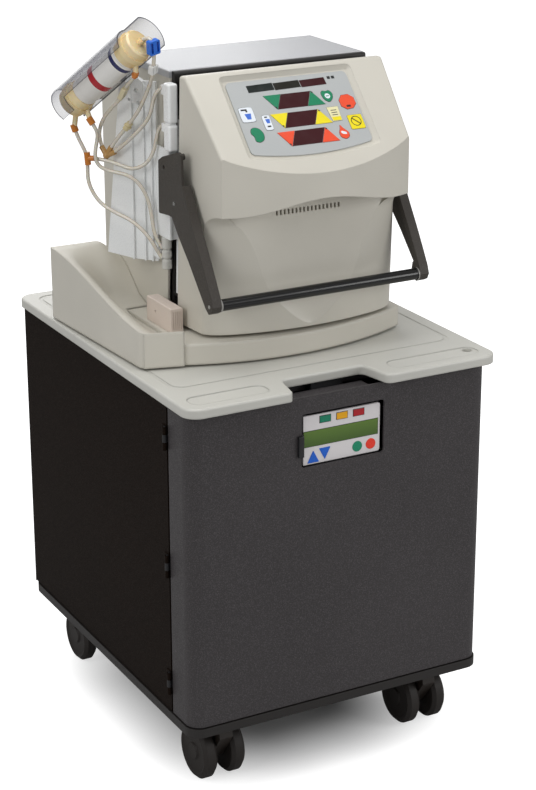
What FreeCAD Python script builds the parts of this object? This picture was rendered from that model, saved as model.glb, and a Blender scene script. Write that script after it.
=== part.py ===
"""Home dialysis machine on its wheeled cart, as separate pieces in one frame.

Millimetres, X to the right, Y to the back, Z up. The origin is on the floor
under the middle of the worktop. The front with the control panel faces -Y.
"""
import FreeCAD, Part
import Sketcher
import math
import os
import re

from FreeCAD import Placement, Rotation, Vector

doc = FreeCAD.newDocument("dialysis_machine")
os.makedirs("parts", exist_ok=True)

SIZES = {
    # worktop
    "worktop_width": 590,
    "worktop_depth": 712,
    "worktop_top": 717,
    "worktop_thickness": 16,
    "worktop_corner": 28,
    "worktop_edge": 4,
    "notch_centre": -16,
    "notch_rear_width": 154,
    "notch_front_width": 178,
    "notch_depth": 64,
    "pole_socket_x": 260,
    "pole_socket_inset": 48,
    "pole_socket_radius": 9,
    "pole_socket_depth": 12,
    "dish_depth": 2,
    "dish_corner": 17,
    "dish_margin": 21,
    "dish_deep": 40,
    "dish_from_notch": 27,
    "groove_margin": 27,
    "groove_front": 104,
    "groove_width": 5,
    "groove_depth": 1,
    "groove_corner": 22,
    # cart body
    "cart_half_width": 286,
    "cart_front": -336,
    "cart_rear": 346,
    "cart_corner": 26,
    "panel_wall": 4,
    "panel_bottom": 142,
    "panel_gap": 2,
    "frame_wall": 4,
    "tray_lip": 2,
    "tray_thickness": 16,
    "front_return": 73,
    "partition_x": -134,
    "rail_height": 22,
    "post_width": 20,
    # drawer
    "window_centre": 0,
    "window_width": 158,
    "window_top": 667,
    "window_bottom": 573,
    "window_corner": 6,
    "tub_wall": 4,
    "tub_corner": 22,
    "tub_bottom": 176,
    "tub_top": 520,
    "tub_length": 540,
    "slide_height": 40,
    "slide_middle": 330,
    "slide_depth": 6,
    "slide_clear": 0.4,
    "tank_gap": 7,
    "tank_top": 500,
    "grip_depth": 44,
    "grip_drop": 12,
    # cart control unit
    "unit_width": 147,
    "unit_top": 661,
    "unit_bottom": 575,
    "unit_depth": 62,
    "unit_face_setback": 5,
    "unit_panel_thickness": 3,
    "lcd_width": 140,
    "lcd_height": 30,
    "lcd_rise": 45,
    "lamp_width": 21,
    "lamp_height": 12,
    "lamp_rise": 76,
    "lamp_pitch": 32,
    "button_rise": 14,
    "button_radius": 8.5,
    # side door and its hinges
    "hinge_offset": 4.5,
    "hinge_radius": 4,
    "hinge_pin_radius": 2,
    "hinge_length": 40,
    "hinge_low": 197,
    "hinge_mid": 413,
    "hinge_high": 640,
    "fit_clear": 0.05,
    # casters
    "caster_x": 205,
    "caster_front_y": -276,
    "caster_rear_y": 230,
    "caster_trail": 26,
    "wheel_radius": 50,
    "wheel_width": 26,
    "wheel_spacing": 27,
    "wheel_edge": 6,
    "wheel_cap": 3,
    "axle_radius": 5,
    "stem_radius": 8,
    "stem_height": 12,
    "seat_gap": 0.3,
    # cycler base and shroud
    "cycler_centre": 22,
    "foot_height": 4,
    "foot_radius": 13,
    "base_top": 757,
    "base_left": -206,
    "base_right": 222,
    "base_rear": 246,
    "bow_radius": 505,
    "base_bow_centre": -8,
    "base_front": -202,
    "shroud_front": -166,
    "shroud_outer_front": -275,
    "shroud_outer_rear": -293,
    "shroud_rear": 205,
    "shroud_rim_front": 781,
    "shroud_rim_rear": 850,
    "shroud_floor": 752,
    "shroud_wall": 5,
    # rear body
    "body_half_width": 185,
    "body_front_low": -14,
    "body_lean": 24,
    "body_top": 1178,
    "body_flat_rear": 140,
    "body_rear": 245,
    "body_rear_top": 1112,
    "body_wall": 4,
    "cover_thickness": 12,
    "cover_overlap": 2,
    "slot_plate": 8,
    # front housing
    "housing_half_width": 190,
    "housing_bottom": 763,
    "housing_top": 1190,
    "housing_rounding": 5,
    "housing_rear_low": -64,
    "housing_rear_lean": 19,
    "slope_start": -98,
    "slope_run": 142,
    "slope_drop": 150,
    "brow_front": -240,
    "brow_low": 976,
    "brow_arch": 21,
    "brow_arch_half": 160,
    "brow_cove": 30,
    "brow_lip": 6,
    "brow_rounding": 6,
    "lower_front_top": -198,
    "lower_front_bottom": -190,
    "lower_rounding": 22,
    "side_taper": 0.09,
    "side_taper_start": -70,
    "scoop_slope": 0.15,
    "scoop_reach": 1.02,
    "scoop_below_brow": 4,
    "vent_pitch": 7.4,
    "vent_width": 3.4,
    "vent_low": 960,
    "vent_height": 8,
    "housing_cavity_wall": 9,
    # control fascia
    "fascia_left": -97,
    "fascia_right": 132,
    "fascia_start": 17,
    "fascia_end": 155,
    "fascia_bow": 12,
    "fascia_thickness": 2,
    "fascia_recess": 7,
    "fascia_border": 10,
    "key_height": 0.8,
    "key_row_depth": 28.2,
    "display_height": 0.4,
    # handle
    "pivot_y": -94,
    "pivot_z": 980,
    "pivot_radius": 3.5,
    "pivot_collar": 8,
    "arm_thickness": 4,
    "arm_gap": 1,
    "arm_width": 17,
    "flange_thickness": 3.5,
    "flange_lip": 6,
    "knob_radius": 5.5,
    "knob_reach": 10,
    "bar_y": -219,
    "bar_z": 835,
    "bar_radius": 10,
    "bar_screw": 3.2,
    "collar_radius": 11,
    "collar_width": 3,
    # guide rods
    "rod_radius": 6,
    "rod_inset": 30,
    "rod_low": 780,
    "rod_high": 1124,
    "rod_length": 103,
    "rod_hole_end": -147,
    # pump
    "pump_x": 60,
    "pump_z": 910,
    "rotor_radius": 36,
    "rotor_thickness": 9,
    "rotor_gap": 3,
    "motor_radius": 32,
    "motor_length": 78,
    # cartridge; its open edge and the lines are drawn for a body side at this x
    "drawn_side": -163,
    "blade_thickness": 14,
    "blade_low": 806,
    "blade_high": 1110,
    "organiser_face": 140,
    "organiser_thickness": 12,
    "organiser_turn": -51.25,
    # dialyser
    "dialyser_x": -248.5,
    "dialyser_y": 22,
    "dialyser_z": 1186.5,
    "dialyser_turn": -61.6,
    "dialyser_tilt": 38.7,
    "dialyser_radius": 24,
    "cap_radius": 29,
    "shield_radius": 35,
    "shield_wall": 2.5,
    "shield_length": 219,
    # tubing
    "tube_radius": 3.2,
}

sheet = doc.addObject("Spreadsheet::Sheet", "Sizes")
for row, (alias, value) in enumerate(SIZES.items(), start=1):
    sheet.set("A%d" % row, alias)
    sheet.set("B%d" % row, str(value))
    sheet.setAlias("B%d" % row, alias)
doc.recompute()


class Sheet:
    """Reads a size from the spreadsheet, for the shapes made in code."""

    def __getattr__(self, alias):
        return float(sheet.get(alias))


size = Sheet()
nodes = []
WORD = re.compile(r"[A-Za-z_]\w*")
FUNCTIONS = {"sqrt", "sin", "cos", "tan", "min", "max", "abs"}
AXIS_TURNS = {
    "X": Rotation(Vector(0, 1, 0), 90),
    "Y": Rotation(Vector(1, 0, 0), -90),
    "Z": Rotation(),
}


# Helpers for bound primitives, booleans and sketches

def formula(text):
    """Points the words of an expression at cells of the sheet."""
    return WORD.sub(lambda m: m.group(0) if m.group(0) in FUNCTIONS else "Sizes." + m.group(0), str(text))


def bind(thing, expressions):
    for name, text in expressions.items():
        thing.setExpression(name, formula(text))
    return thing


def place(thing, x, y, z):
    return bind(thing, {"Placement.Base.x": x, "Placement.Base.y": y, "Placement.Base.z": z})


def box(name, x, y, z, across, deep, high):
    """A box from its lower left front corner."""
    thing = doc.addObject("Part::Box", name)
    bind(thing, {"Length": across, "Width": deep, "Height": high})
    return place(thing, x, y, z)


def cylinder(name, x, y, z, radius, length, axis="Z"):
    """A cylinder from the middle of its lower, left or front end."""
    thing = doc.addObject("Part::Cylinder", name)
    thing.Placement = Placement(Vector(), AXIS_TURNS[axis])
    bind(thing, {"Radius": radius, "Height": length})
    return place(thing, x, y, z)


def fuse(name, *things):
    joined = doc.addObject("Part::MultiFuse", name)
    joined.Shapes = list(things)
    joined.Refine = True
    return joined


def cut(name, base, *tools):
    rest = doc.addObject("Part::Cut", name)
    rest.Base = base
    rest.Tool = tools[0] if len(tools) == 1 else fuse(name + "_tools", *tools)
    rest.Refine = True
    return rest


def common(name, first, second):
    shared = doc.addObject("Part::Common", name)
    shared.Base = first
    shared.Tool = second
    return shared


def group(name, *things):
    """Separate solids that share one node."""
    together = doc.addObject("Part::Compound", name)
    together.Links = list(things)
    return together


def solid(name, shape):
    feature = doc.addObject("Part::Feature", name)
    feature.Shape = shape
    return feature


def rounded(name, base, radius, choose):
    """Fillets the edges of a thing that the test picks."""
    doc.recompute()
    feature = doc.addObject("Part::Fillet", name)
    feature.Base = base
    edges = enumerate(base.Shape.Edges, start=1)
    feature.Edges = [(number, radius, radius) for number, edge in edges if choose(edge)]
    return feature


def node(thing, name):
    """Names a finished sub-part."""
    thing.Label = name
    nodes.append(thing)
    return thing


def runs_along(edge, axis):
    if edge.Curve.TypeId != "Part::GeomLine":
        return False
    direction = edge.Vertexes[1].Point - edge.Vertexes[0].Point
    return abs(direction.normalize().dot(axis)) > 0.999


def upright(edge):
    return runs_along(edge, Vector(0, 0, 1))


def crosswise(edge):
    return runs_along(edge, Vector(1, 0, 0))


class Design:
    """A PartDesign body: sketches on its own planes, then features."""

    def __init__(self, name):
        self.name = name
        self.body = doc.addObject("PartDesign::Body", name)
        self.count = 0

    def feature(self, kind):
        self.count += 1
        return self.body.newObject(kind, "%s_%d" % (self.name, self.count))

    def sketch(self, plane, offset="0"):
        sketch = self.feature("Sketcher::SketchObject")
        origin = [f for f in self.body.Origin.OriginFeatures if f.Role == plane + "_Plane"]
        sketch.AttachmentSupport = (origin[0], [""])
        sketch.MapMode = "FlatFace"
        sketch.setExpression("AttachmentOffset.Base.z", formula(offset))
        return sketch

    def pin_point(self, sketch, geometry, point, across, up, start):
        for kind, text, guess in (("DistanceX", across, start.x), ("DistanceY", up, start.y)):
            index = sketch.addConstraint(Sketcher.Constraint(kind, -1, 1, geometry, point, guess))
            sketch.setExpression("Constraints[%d]" % index, formula(text))

    def polygon(self, sketch, points):
        """Straight lines through points whose coordinates are expressions."""
        count = len(points)
        first = sketch.GeometryCount
        turns = [2 * math.pi * i / count for i in range(count)]
        starts = [Vector(50 * math.cos(t), 50 * math.sin(t), 0) for t in turns]
        for i in range(count):
            sketch.addGeometry(Part.LineSegment(starts[i], starts[(i + 1) % count]), False)
        for i in range(count):
            here, after = first + i, first + (i + 1) % count
            sketch.addConstraint(Sketcher.Constraint("Coincident", here, 2, after, 1))
        for i, (across, up) in enumerate(points):
            self.pin_point(sketch, first + i, 1, across, up, starts[i])
        return sketch

    def rectangle(self, sketch, left, low, right, high):
        return self.polygon(sketch, [(left, low), (right, low), (right, high), (left, high)])

    def circle(self, sketch, across, up, radius):
        index = sketch.addGeometry(Part.Circle(Vector(), Vector(0, 0, 1), 10), False)
        self.pin_point(sketch, index, 3, across, up, Vector())
        constraint = sketch.addConstraint(Sketcher.Constraint("Radius", index, 10))
        sketch.setExpression("Constraints[%d]" % constraint, formula(radius))
        return sketch

    def pad(self, sketch, length):
        return self.extrude("PartDesign::Pad", sketch, length)

    def pocket(self, sketch, length):
        """Cuts towards the sketch plane's normal, and says so if it misses."""
        before = self.body.Shape.Volume
        feature = self.extrude("PartDesign::Pocket", sketch, length)
        feature.Reversed = True
        doc.recompute()
        if self.body.Shape.Volume > before - 1e-6:
            raise RuntimeError("pocket missed in " + self.name)
        return feature

    def extrude(self, kind, sketch, length):
        feature = self.feature(kind)
        feature.Profile = sketch
        feature.setExpression("Length", formula(length))
        sketch.Visibility = False
        doc.recompute()
        return feature

    def revolve(self, sketch, axis):
        feature = self.feature("PartDesign::Revolution")
        feature.Profile = sketch
        feature.ReferenceAxis = (sketch, [axis])
        feature.Angle = 360
        doc.recompute()
        return feature

    def fillet(self, radius, choose):
        tip = self.body.Tip
        feature = self.feature("PartDesign::Fillet")
        names = ["Edge%d" % n for n, e in enumerate(tip.Shape.Edges, start=1) if choose(e)]
        feature.Base = (tip, names)
        feature.setExpression("Radius", formula(radius))
        doc.recompute()
        return feature


# Helpers for shapes made in code

def flat_face(points):
    return Part.Face(Part.makePolygon(list(points) + [points[0]]))


def prism_x(points, start, end):
    """A side outline of (y, z) points, drawn out from x = start to end."""
    face = flat_face([Vector(start, y, z) for y, z in points])
    return face.extrude(Vector(end - start, 0, 0))


def prism_z(points, low, high):
    """A plan outline of (x, y) points, drawn up from z = low to high."""
    face = flat_face([Vector(x, y, low) for x, y in points])
    return face.extrude(Vector(0, 0, high - low))


def block(x0, y0, z0, x1, y1, z1):
    return Part.makeBox(x1 - x0, y1 - y0, z1 - z0, Vector(x0, y0, z0))


def smooth_step(t):
    t = min(1.0, max(0.0, t))
    return t * t * (3 - 2 * t)


def spread(start, end, count):
    return [start + (end - start) * i / (count - 1) for i in range(count)]


def surface_through(rows):
    """A smooth face through a grid of points."""
    sheet_surface = Part.BSplineSurface()
    sheet_surface.interpolate(rows)
    return sheet_surface.toShape()


def tube_along(points, radius):
    """A round tube of straight runs joined by tangent arcs."""
    spans = [(b - a) for a, b in zip(points, points[1:])]
    edges = []
    here = points[0]
    radii = []
    for i in range(1, len(points) - 1):
        before, after = spans[i - 1], spans[i]
        shorter = min(before.Length, after.Length)
        half_turn = before.getAngle(after) / 2
        reach = 0.45 * shorter
        radii.append(reach / math.tan(half_turn))
        arc_start = points[i] - Vector(before).normalize() * reach
        arc_end = points[i] + Vector(after).normalize() * reach
        inward = (arc_start + arc_end) * 0.5 - points[i]
        depth = radii[-1] * (1 / math.cos(half_turn) - 1)
        middle = points[i] + inward.normalize() * depth
        edges.append(Part.LineSegment(here, arc_start).toShape())
        edges.append(Part.Arc(arc_start, middle, arc_end).toShape())
        here = arc_end
    edges.append(Part.LineSegment(here, points[-1]).toShape())
    path = Part.Wire(edges)
    ring = Part.Wire([Part.makeCircle(radius, points[0], spans[0])])
    tube = path.makePipeShell([ring], True, False, 1)
    length = sum(edge.Length for edge in edges)
    share = tube.Volume / (math.pi * radius ** 2 * length)
    print("tube length %.0f, least radius %.1f, volume share %.4f" % (length, min(radii), share))
    return tube


# Cart: worktop, tray and cabinet

def make_worktop():
    top = Design("worktop")
    sketch = top.sketch("XY", "worktop_top - worktop_thickness")
    half, deep = "worktop_width / 2", "worktop_depth / 2"
    rear_y = "-worktop_depth / 2 + notch_depth"
    top.polygon(sketch, [
        ("-" + half, "-" + deep),
        ("notch_centre - notch_front_width / 2", "-" + deep),
        ("notch_centre - notch_rear_width / 2", rear_y),
        ("notch_centre + notch_rear_width / 2", rear_y),
        ("notch_centre + notch_front_width / 2", "-" + deep),
        (half, "-" + deep), (half, deep), ("-" + half, deep)])
    top.pad(sketch, "worktop_thickness")
    corner = lambda e: upright(e) and abs(abs(e.CenterOfMass.x) - size.worktop_width / 2) < 1
    top.fillet("worktop_corner", corner)
    reach = size.notch_front_width / 2 + 1
    notch = lambda e: upright(e) and abs(e.CenterOfMass.x - size.notch_centre) < reach
    top.fillet("worktop_edge * 3", notch)
    upper = lambda e: abs(e.BoundBox.ZMin - size.worktop_top) < 0.01 and e.BoundBox.ZLength < 0.01
    top.fillet("worktop_edge", upper)
    hole = top.sketch("XY", "worktop_top")
    top.circle(hole, "pole_socket_x", "pole_socket_inset - worktop_depth / 2", "pole_socket_radius")
    top.extrude("PartDesign::Pocket", hole, "pole_socket_depth")
    dishes = top.sketch("XY", "worktop_top")
    left, right = "dish_margin - worktop_width / 2", "worktop_width / 2 - dish_margin"
    low, high = "dish_margin - worktop_depth / 2", "dish_margin + dish_deep - worktop_depth / 2"
    top.rectangle(dishes, left, low, "notch_centre - notch_front_width / 2 - dish_from_notch", high)
    top.rectangle(dishes, "notch_centre + notch_front_width / 2 + dish_from_notch", low, right, high)
    top.extrude("PartDesign::Pocket", dishes, "dish_depth")
    top.fillet("dish_corner", lambda e: upright(e) and e.BoundBox.ZLength < size.dish_depth + 0.1)
    groove = top.sketch("XY", "worktop_top")
    for inset in ("groove_margin", "(groove_margin + groove_width)"):
        top.rectangle(groove, inset + " - worktop_width / 2",
                      "groove_front + %s - groove_margin - worktop_depth / 2" % inset,
                      "worktop_width / 2 - " + inset, "worktop_depth / 2 - " + inset)
    top.extrude("PartDesign::Pocket", groove, "groove_depth")
    top.fillet("groove_corner", lambda e: upright(e) and e.BoundBox.ZLength < size.groove_depth + 0.1)
    node(top.body, "worktop")


def make_base_tray():
    tray = Design("base_tray")
    sketch = tray.sketch("XY", "panel_bottom - panel_gap - tray_thickness")
    side = "(cart_half_width + tray_lip)"
    tray.rectangle(sketch, "-" + side, "cart_front - tray_lip", side, "cart_rear + tray_lip")
    tray.pad(sketch, "tray_thickness")
    tray.fillet("cart_corner", upright)
    stems = tray.sketch("XY", "panel_bottom - panel_gap - tray_thickness + stem_height")
    for y in ("caster_front_y", "caster_rear_y"):
        for x in ("caster_x", "-caster_x"):
            tray.circle(stems, x, y, "stem_radius + fit_clear")
    tray.extrude("PartDesign::Pocket", stems, "stem_height")
    node(tray.body, "base_tray")


def make_cabinet():
    low = "panel_bottom - panel_gap"
    high = "worktop_top - worktop_thickness - panel_bottom + panel_gap"
    inner = "cart_half_width - frame_wall"
    front = "cart_front + front_return + 3 * panel_gap / 2"
    side_length = "cart_rear - (%s)" % front
    top_z = "worktop_top - worktop_thickness - rail_height"
    right = box("right_wall", inner, front, low, "frame_wall", side_length, high)
    rear = box("rear_wall", "-cart_half_width", "cart_rear - frame_wall", low,
               "2 * cart_half_width", "frame_wall", high)
    shell = fuse("outer_walls", right, rear)
    at_rear = lambda e: upright(e) and e.CenterOfMass.y > size.cart_rear - 0.1
    shell = rounded("rounded_walls", shell, size.frame_wall - 0.5, at_rear)
    post = box("hinge_post", "-cart_half_width + frame_wall + 0.5", front, low,
               "post_width", "post_width", high)
    rail_front = box("front_rail", "-cart_half_width + frame_wall + 0.5", front, top_z,
                     "2 * cart_half_width - 2 * frame_wall - 0.5", "post_width", "rail_height")
    rail_left = box("left_rail", "-cart_half_width + frame_wall + 0.5", front, top_z,
                    "post_width", side_length, "rail_height")
    partition = box("partition", "partition_x", front, low, "frame_wall", side_length, high)
    vents = []
    for i in range(7):
        vents.append(box("cart_vent_%d" % i, "cart_half_width / 4", "cart_rear - 2 * frame_wall",
                         "panel_bottom + 60 + %d" % (i * 14), "cart_half_width / 2", "4 * frame_wall", "5"))
    frame = fuse("cabinet_frame_solid", shell, post, rail_front, rail_left, partition)
    node(cut("cabinet_cut", frame, *vents), "cabinet_frame")


def make_drawer_front():
    front = Design("drawer_block")
    bottom, height = "panel_bottom", "worktop_top - worktop_thickness - 2 * panel_gap - panel_bottom"
    outline = front.sketch("XY", bottom)
    edge = "cart_front + front_return"
    front.rectangle(outline, "-cart_half_width", "cart_front", "cart_half_width", edge)
    front.pad(outline, height)
    at_front = lambda e: upright(e) and e.CenterOfMass.y < size.cart_front + 1
    front.fillet("cart_corner", at_front)
    inner = "(cart_half_width - panel_wall)"
    shell = Design("drawer_hollow")
    core = shell.sketch("XY", bottom + " - 1")
    shell.rectangle(core, "-" + inner, "cart_front + panel_wall", inner, edge + " + 1")
    shell.pad(core, height + " + 2")
    shell.fillet("cart_corner - panel_wall", lambda e: upright(e) and e.CenterOfMass.y < size.cart_front + 9)
    skin = cut("drawer_skin", front.body, shell.body)
    window = box("window_tool", "window_centre - window_width / 2", "cart_front - 1", "window_bottom",
                 "window_width", "panel_wall + 2", "window_top - window_bottom")
    along_y = lambda e: runs_along(e, Vector(0, 1, 0))
    window = rounded("window_rounded", window, size.window_corner, along_y)
    grip = box("grip_flange", "notch_centre - notch_rear_width / 2", "cart_front + panel_wall / 2",
               "worktop_top - worktop_thickness - grip_drop - panel_wall", "notch_rear_width",
               "grip_depth", "panel_wall")
    node(fuse("drawer_front_solid", cut("drawer_window", skin, window), grip), "drawer_front")


def make_drawer_tub():
    left = size.partition_x + size.frame_wall + 2 * size.slide_depth - 1
    right = size.cart_half_width - size.frame_wall - 2 * size.slide_depth + 1
    front = size.cart_front + size.panel_wall
    rear = front + size.tub_length
    outer = block(left, front, size.tub_bottom, right, rear, size.tub_top)
    outer = outer.makeFillet(size.tub_corner, [e for e in outer.Edges if upright(e)])
    wall = size.tub_wall
    inner = block(left + wall, front + wall, size.tub_bottom + wall,
                  right - wall, rear - wall, size.tub_top + 1)
    inner = inner.makeFillet(size.tub_corner - wall, [e for e in inner.Edges if upright(e)])
    node(solid("tub", outer.cut(inner)), "drawer_tub")
    gap = size.tank_gap
    tank = block(left + wall + gap, front + wall + gap, size.tub_bottom + wall + size.seat_gap,
                 right - wall - gap, rear - wall - gap, size.tank_top)
    tank = tank.makeFillet(22, [e for e in tank.Edges if not crosswise(e) or e.CenterOfMass.z > 300])
    spout = Part.makeCylinder(26, 18, Vector((left + right) / 2, (front + rear) / 2, size.tank_top - 1))
    node(solid("tank", tank.fuse(spout).removeSplitter()), "fluid_tank")
    fixed, moving = [], []
    low, high = size.slide_middle - size.slide_height / 2, size.slide_middle + size.slide_height / 2
    start = size.cart_front + size.front_return + 1.5 * size.panel_gap
    for side, wall_x, tub_x in ((1, size.partition_x + size.frame_wall, left),
                                (-1, size.cart_half_width - size.frame_wall, right)):
        depth = side * size.slide_depth
        channel = block(min(wall_x, wall_x + depth), start, low, max(wall_x, wall_x + depth), rear, high)
        groove = block(min(wall_x + depth / 3, wall_x + 2 * depth), start - 1, low + 5,
                       max(wall_x + depth / 3, wall_x + 2 * depth), rear + 1, high - 5)
        fixed.append(channel.cut(groove))
        runner_x = wall_x + depth / 3 + side * size.slide_clear
        moving.append(block(min(runner_x, tub_x), start, low + 5 + size.slide_clear,
                            max(runner_x, tub_x), rear - 20, high - 5 - size.slide_clear))
    node(solid("fixed_slides", Part.makeCompound(fixed)), "slide_rails_fixed")
    node(solid("moving_slides", Part.makeCompound(moving)), "slide_rails_moving")


def make_control_unit():
    face = "cart_front + unit_face_setback"
    back = "unit_depth"
    left = "window_centre - unit_width / 2"
    case = box("unit_case", left, face + " + unit_panel_thickness", "unit_bottom", "unit_width",
               back, "unit_top - unit_bottom")
    hanger = box("unit_hanger", "window_centre - 30", face + " + unit_depth - 10", "unit_top - 20",
                 "60", "cart_front + front_return + 3 * panel_gap / 2 + 6 - (%s) - unit_depth + 10" % face,
                 "worktop_top - worktop_thickness - unit_top + 20")
    hanger_lip = cut("hanger_cut", hanger, box(
        "hanger_space", "window_centre - 31", "cart_front + front_return + 3 * panel_gap / 2",
        "worktop_top - worktop_thickness - rail_height", "62", "30", "rail_height + 1"))
    node(fuse("unit_solid", case, hanger_lip), "control_unit")
    plate = box("unit_plate", left, face, "unit_bottom", "unit_width", "unit_panel_thickness",
                "unit_top - unit_bottom")
    lcd_left = "window_centre - lcd_width / 2"
    lcd_low = "unit_bottom + lcd_rise - lcd_height / 2"
    lcd_hole = box("lcd_hole", lcd_left, face + " - 1", lcd_low,
                   "lcd_width", "unit_panel_thickness + 2", "lcd_height")
    lamp_holes, lamps = [], []
    for i in (-1, 0, 1):
        x = "window_centre + %d * lamp_pitch - lamp_width / 2" % i
        low = "unit_bottom + lamp_rise - lamp_height / 2"
        lamp_holes.append(box("lamp_hole_%d" % (i + 1), x, face + " - 1", low, "lamp_width",
                              "unit_panel_thickness + 2", "lamp_height"))
        lamps.append(box("lamp_%d" % (i + 1), x, face, low, "lamp_width",
                         "unit_panel_thickness", "lamp_height"))
    node(cut("unit_plate_cut", plate, lcd_hole, *lamp_holes), "control_panel")
    node(box("lcd_glass", lcd_left, face + " + 1", lcd_low,
             "lcd_width", "unit_panel_thickness - 1", "lcd_height"), "lcd_window")
    node(group("lamps", *lamps), "status_lamps")
    front = size.cart_front + size.unit_face_setback
    middle_z = size.unit_bottom + size.button_rise
    shapes = []
    for centre, turn in ((-54, 90), (-32, -90)):
        corners = [Vector(size.window_centre + centre + 12 * math.cos(math.radians(a + turn)), front,
                          middle_z + 11 * math.sin(math.radians(a + turn))) for a in (0, 120, 240)]
        shapes.append(flat_face(corners).extrude(Vector(0, -size.key_height, 0)))
    for centre in (30, 55):
        middle = Vector(size.window_centre + centre, front - size.key_height, middle_z)
        shapes.append(Part.makeCylinder(size.button_radius, size.key_height, middle, Vector(0, 1, 0)))
    node(solid("cart_keys_solids", Part.makeCompound(shapes)), "cart_keys")


def make_side_door():
    start = size.cart_front + size.front_return + 2.5 * size.panel_gap
    outer = -size.cart_half_width
    top = size.worktop_top - size.worktop_thickness - 2 * size.panel_gap
    axis_x, axis_y = outer - size.hinge_offset, start - 1.5
    rear = size.cart_rear - size.frame_wall - size.panel_gap
    door = block(outer, start, size.panel_bottom, outer + size.panel_wall, rear, top)
    post_face = size.cart_front + size.front_return + 1.5 * size.panel_gap
    fixed = []
    third = size.hinge_length / 3
    pin = size.hinge_pin_radius
    for middle in (size.hinge_low, size.hinge_mid, size.hinge_high):
        low = middle - size.hinge_length / 2
        for offset in (0, 2 * third + 0.2):
            base = Vector(axis_x, axis_y, low + offset)
            height = third - 0.2
            knuckle = Part.makeCylinder(size.hinge_radius, height, base)
            strap = block(axis_x, axis_y + 1.5, base.z, outer + 1, axis_y + 3.5, base.z + height)
            flap = block(outer - 1.6, axis_y + 1.5, base.z, outer + 1, axis_y + 16, base.z + height)
            bore = Part.makeCylinder(pin + size.fit_clear, height, base)
            door = door.fuse([knuckle, strap, flap]).cut(bore)
        knuckle = Part.makeCylinder(size.hinge_radius, third - 0.2, Vector(axis_x, axis_y, low + third + 0.1))
        leaf = block(axis_x, axis_y - 1.5, low + third + 0.1, outer + 20, post_face, low + 2 * third - 0.1)
        rod = Part.makeCylinder(pin, size.hinge_length + 2, Vector(axis_x, axis_y, low - 1))
        fixed.append(knuckle.fuse([leaf, rod]).removeSplitter())
    node(solid("door_solid", door.removeSplitter()), "side_door")
    node(solid("hinges", Part.makeCompound(fixed)), "door_hinges")


def make_cart_insides():
    floor = size.panel_bottom - size.panel_gap
    motor = Part.makeCylinder(34, 120, Vector(-208, -60, floor))
    head = Part.makeCylinder(42, 44, Vector(-208, -60, floor + 120))
    port = Part.makeCylinder(8, 30, Vector(-208, -60, floor + 164))
    node(solid("pump", motor.fuse([head, port]).removeSplitter()), "transfer_pump")
    rear = size.cart_rear
    frame = block(-150, rear, 190, -100, rear + 6, 240)
    recess = block(-143, rear + 2, 197, -107, rear + 7, 233)
    pins = [block(-129 + d, rear + 2, 208 + h, -125 + d, rear + 5, 220 + h)
            for d, h in ((-9, 0), (9, 0), (0, 8))]
    node(solid("inlet", frame.cut(recess).fuse(pins)), "power_inlet")


# Casters

def make_casters():
    seat = size.panel_bottom - size.panel_gap - size.tray_thickness
    for name, x, y in (("front_left", -size.caster_x, size.caster_front_y),
                       ("front_right", size.caster_x, size.caster_front_y),
                       ("rear_left", -size.caster_x, size.caster_rear_y),
                       ("rear_right", size.caster_x, size.caster_rear_y)):
        hub_y, hub_z = y + size.caster_trail, size.wheel_radius
        stem = Part.makeCylinder(size.stem_radius, size.stem_height + 9, Vector(x, y, seat - 10))
        plate = Part.makeCylinder(24, 9.7, Vector(x, y, seat - 10))
        half = (size.wheel_spacing - 2) / 2
        outline = [(y - 22, seat - 8), (y + 22, seat - 8), (hub_y + 30, seat - 24), (hub_y + 34, hub_z + 14),
                   (hub_y + 12, hub_z - 14), (hub_y - 12, hub_z - 14), (y - 26, seat - 34)]
        rib = prism_x(outline, x - half, x + half)
        axle_length = size.wheel_spacing + 2 * (size.wheel_width - size.wheel_cap) - 1
        axle = Part.makeCylinder(size.axle_radius, axle_length, Vector(x - axle_length / 2, hub_y, hub_z),
                                 Vector(1, 0, 0))
        fork = stem.fuse([plate, rib, axle]).removeSplitter()
        node(solid("fork_" + name, fork), "caster_fork_" + name)
        wheels = []
        for side in (-1, 1):
            inner = size.wheel_spacing / 2
            outer = inner + size.wheel_width
            r, edge = size.wheel_radius, size.wheel_edge
            bore = size.axle_radius + size.fit_clear
            profile = [(inner, bore), (inner, r - edge), (inner + edge, r), (outer - edge, r),
                       (outer, r - edge), (outer - 3, r - 2 * edge), (outer - 3, 16), (outer, 14),
                       (outer, 0), (outer - 3, 0), (outer - 3, bore)]
            points = [Vector(x + side * a, hub_y, hub_z + b) for a, b in profile]
            wheels.append(flat_face(points).revolve(Vector(x, hub_y, hub_z), Vector(1, 0, 0), 360))
        node(solid("wheels_" + name, Part.makeCompound(wheels)), "caster_wheels_" + name)


# Cycler: base, shroud and rear body

def body_front(z):
    """Y of the rear body's front face, which leans forward with height."""
    return size.body_front_low - size.body_lean * (z - size.base_top) / (size.body_top - size.base_top)


def housing_rear(z):
    """Y of the front housing's rear face."""
    span = size.housing_top - size.housing_bottom
    return size.housing_rear_low - size.housing_rear_lean * (z - size.housing_bottom) / span


def slot_middle(z):
    return (body_front(z) + housing_rear(z)) / 2


def leaning_plate(near, far, low, high, left, right):
    """A plate between two leaning faces, given as functions of height."""
    return prism_x([(near(low), low), (near(high), high), (far(high), high), (far(low), low)], left, right)


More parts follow.
